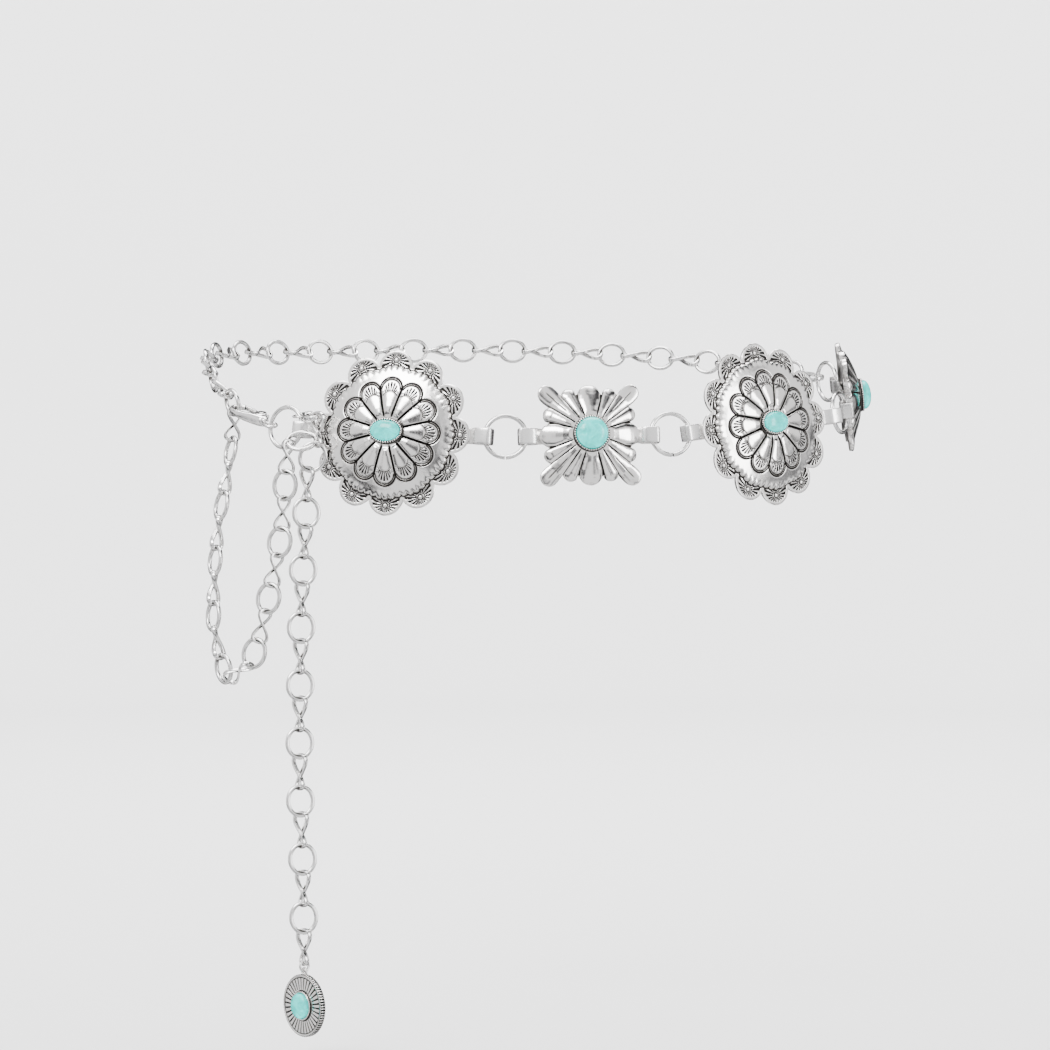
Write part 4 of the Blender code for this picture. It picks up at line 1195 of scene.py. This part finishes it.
def build_pendant(last_eight):
    face = last_eight.to_3x3().col[2]
    level_face = Vector((face.x, face.y, 0)).normalized()
    drop = Vector((0, 0, -1))
    across = level_face.cross(drop)
    wire = JUMP_RING_WIRE / 2
    centre = last_eight @ Vector((EIGHT_PITCH / 2, 0, 0)) + drop * (JUMP_RING_RADIUS - wire - HANG_GAP)
    matrix = frame_matrix(centre, drop, drop.cross(level_face))
    shape = ring_shape(JUMP_RING_RADIUS, JUMP_RING_WIRE, 48, 12)
    piece("coin_jump_ring", shape, silver_link, "pendant", ["pendant_ring"], matrix)
    eye_top = centre + drop * (JUMP_RING_RADIUS - wire - GAP - DISC_EYE_WIRE / 2)
    eye_centre = eye_top + drop * DISC_EYE_RADIUS
    disc_centre = eye_centre + drop * (DISC_EYE_RADIUS + DISC_RADIUS - DISC_EYE_WIRE / 4)
    matrix = frame_matrix(disc_centre, across, level_face)
    eye = ring_shape(DISC_EYE_RADIUS, DISC_EYE_WIRE, 40, 12)
    eye = carried(carried(eye, frame_matrix(eye_centre, across, level_face)), matrix.inverted())
    field = DISC_THICKNESS / 2 - DISC_FIELD_DEPTH
    shape = merged([disc_shape(), eye, bezel(PENDANT_STONE, field, 0, 1.35)])
    piece("coin_disc", shape, silver_cast, "pendant", ["pendant_disc"], matrix)
    stone_shape = dome_stone(PENDANT_STONE, PENDANT_STONE_HEIGHT, field + BEZEL_SEAT + STONE_GAP)
    piece("coin_stone", stone_shape, turquoise, "pendant", ["pendant_stone"], matrix)


def build_belt():
    back_depth = bisect(closing_gap, *(WAIST_HALF_WIDTH * share for share in BACK_DEPTH_SHARES))
    bars, links = bar_lengths()
    places, _ = walk(waist_curve(back_depth), bars + links)
    first_ring = build_conchos(places)
    aim = (places[-1] - places[0]).normalized()
    face = turned(outward(places[0]), aim, CLASP_1["roll"])
    claw_1 = frame_matrix(places[0], aim, face)
    claw_2 = clasp_2_matrix(first_ring)
    waist = waist_links(places[len(bars) :], claw_1)
    build_chain("waist_chain", waist, "chain_waist")
    drop = drop_links(waist["oval"][-1], claw_2)
    build_chain("hanging_chain", drop, "chain_drop")
    for name, size, matrix in (("clasp_1", CLASP_1, claw_1), ("clasp_2", CLASP_2, claw_2)):
        body, lever = clasp_shapes(size)
        piece(f"{name}_claw", body, silver_link, "belt", [f"{name}_body"], matrix)
        piece(f"{name}_gate", lever, silver_link, f"{name}_lever", [f"{name}_lever"], matrix)
    build_pendant(drop["eight"][-1])


build_belt()


# Stage, lights and camera


def build_stage():
    """A pale round floor that bends up into a wall all round."""
    floor_z, floor_radius, bend, top = -0.262, 2.1, 0.5, 2.6
    profile = [(0.05, floor_z), (floor_radius, floor_z)]
    for k in range(1, 17):
        a = math.pi / 2 * k / 16
        profile.append((floor_radius + bend * math.sin(a), floor_z + bend - bend * math.cos(a)))
    profile.append((floor_radius + bend, top))
    t = circle(96)
    rows = [np.stack([r * np.cos(t), r * np.sin(t), z + 0 * t], -1) for r, z in profile]
    faces = [face[::-1] for face in grid_faces(len(rows), len(t))] + [tuple(range(len(t)))]
    mesh = bpy.data.meshes.new("stage")
    mesh.from_pydata(np.concatenate(rows).tolist(), [], faces)
    mesh.shade_smooth()
    pale = new_material("stage", Base_Color=(0.92, 0.92, 0.92, 1.0), Roughness=0.9)[0]
    mesh.materials.append(pale)
    obj = bpy.data.objects.new("stage", mesh)
    bpy.context.scene.collection.objects.link(obj)
    obj.visible_glossy = False
    obj.visible_shadow = False


def area_light(name, place, target, size, power):
    light = bpy.data.lights.new(name, "AREA")
    light.shape = "RECTANGLE"
    light.size, light.size_y = size
    light.energy = power
    obj = bpy.data.objects.new(name, light)
    bpy.context.scene.collection.objects.link(obj)
    obj.location = place
    obj.rotation_euler = (Vector(target) - Vector(place)).to_track_quat("-Z", "Y").to_euler()


def build_lights():
    area_light("key", (-0.9, -1.2, 1.1), (0, 0, -0.03), (0.9, 0.7), 30.0)
    area_light("fill", (1.4, -0.9, 0.2), (0, 0, -0.05), (0.4, 1.2), 14.0)
    area_light("top", (0.0, 0.1, 1.5), (0, 0, 0), (1.2, 0.9), 26.0)
    area_light("backdrop", (0.0, 0.6, 1.7), (0, 2.6, 0.3), (2.4, 0.6), 90.0)


def build_world():
    """A cloudy surround for the metal to mirror: pale in front, patchy round, dark behind."""
    world = bpy.data.worlds.new("world")
    bpy.context.scene.world = world
    world.use_nodes = True
    tree = world.node_tree
    link = tree.links.new
    coordinates = node(tree, "ShaderNodeTexCoord", (-900, 0))
    clouds = node(tree, "ShaderNodeTexNoise", (-700, 0), Scale=2.1, Detail=1.5, Roughness=0.45)
    link(coordinates.outputs["Generated"], clouds.inputs["Vector"])
    shades = ramp(
        tree,
        (-450, 0),
        (
            (0.38, (0.015, 0.015, 0.017)),
            (0.43, (0.25, 0.25, 0.26)),
            (0.48, (1.00, 1.00, 1.01)),
        ),
    )
    parts = node(tree, "ShaderNodeSeparateXYZ", (-700, -250))
    link(coordinates.outputs["Generated"], parts.inputs[0])
    front = map_range(tree, (-500, 250), parts.outputs["Y"], (-1.0, -0.55), (0.07, 0.0))
    lifted = node(tree, "ShaderNodeMath", (-300, 250), operation="ADD")
    link(clouds.outputs["Fac"], lifted.inputs[0])
    link(front.outputs["Result"], lifted.inputs[1])
    link(lifted.outputs[0], shades.inputs["Fac"])
    behind = map_range(tree, (-450, -250), parts.outputs["Y"], (0.30, 0.72), (1.0, 0.08))
    dimmed = node(tree, "ShaderNodeVectorMath", (-200, 0), operation="MULTIPLY")
    link(shades.outputs["Color"], dimmed.inputs[0])
    link(behind.outputs["Result"], dimmed.inputs[1])
    background = tree.nodes["Background"]
    link(dimmed.outputs[0], background.inputs["Color"])
    background.inputs["Strength"].default_value = 1.3


def build_camera():
    data = bpy.data.cameras.new("camera")
    data.sensor_width = 36.0
    data.lens = 100.0
    data.clip_start = 0.01
    camera = bpy.data.objects.new("camera", data)
    bpy.context.scene.collection.objects.link(camera)
    camera.location = (-0.0019, -1.219, -0.0562)
    camera.rotation_euler = (math.radians(90), 0, 0)
    bpy.context.scene.camera = camera


build_stage()
build_lights()
build_world()
build_camera()
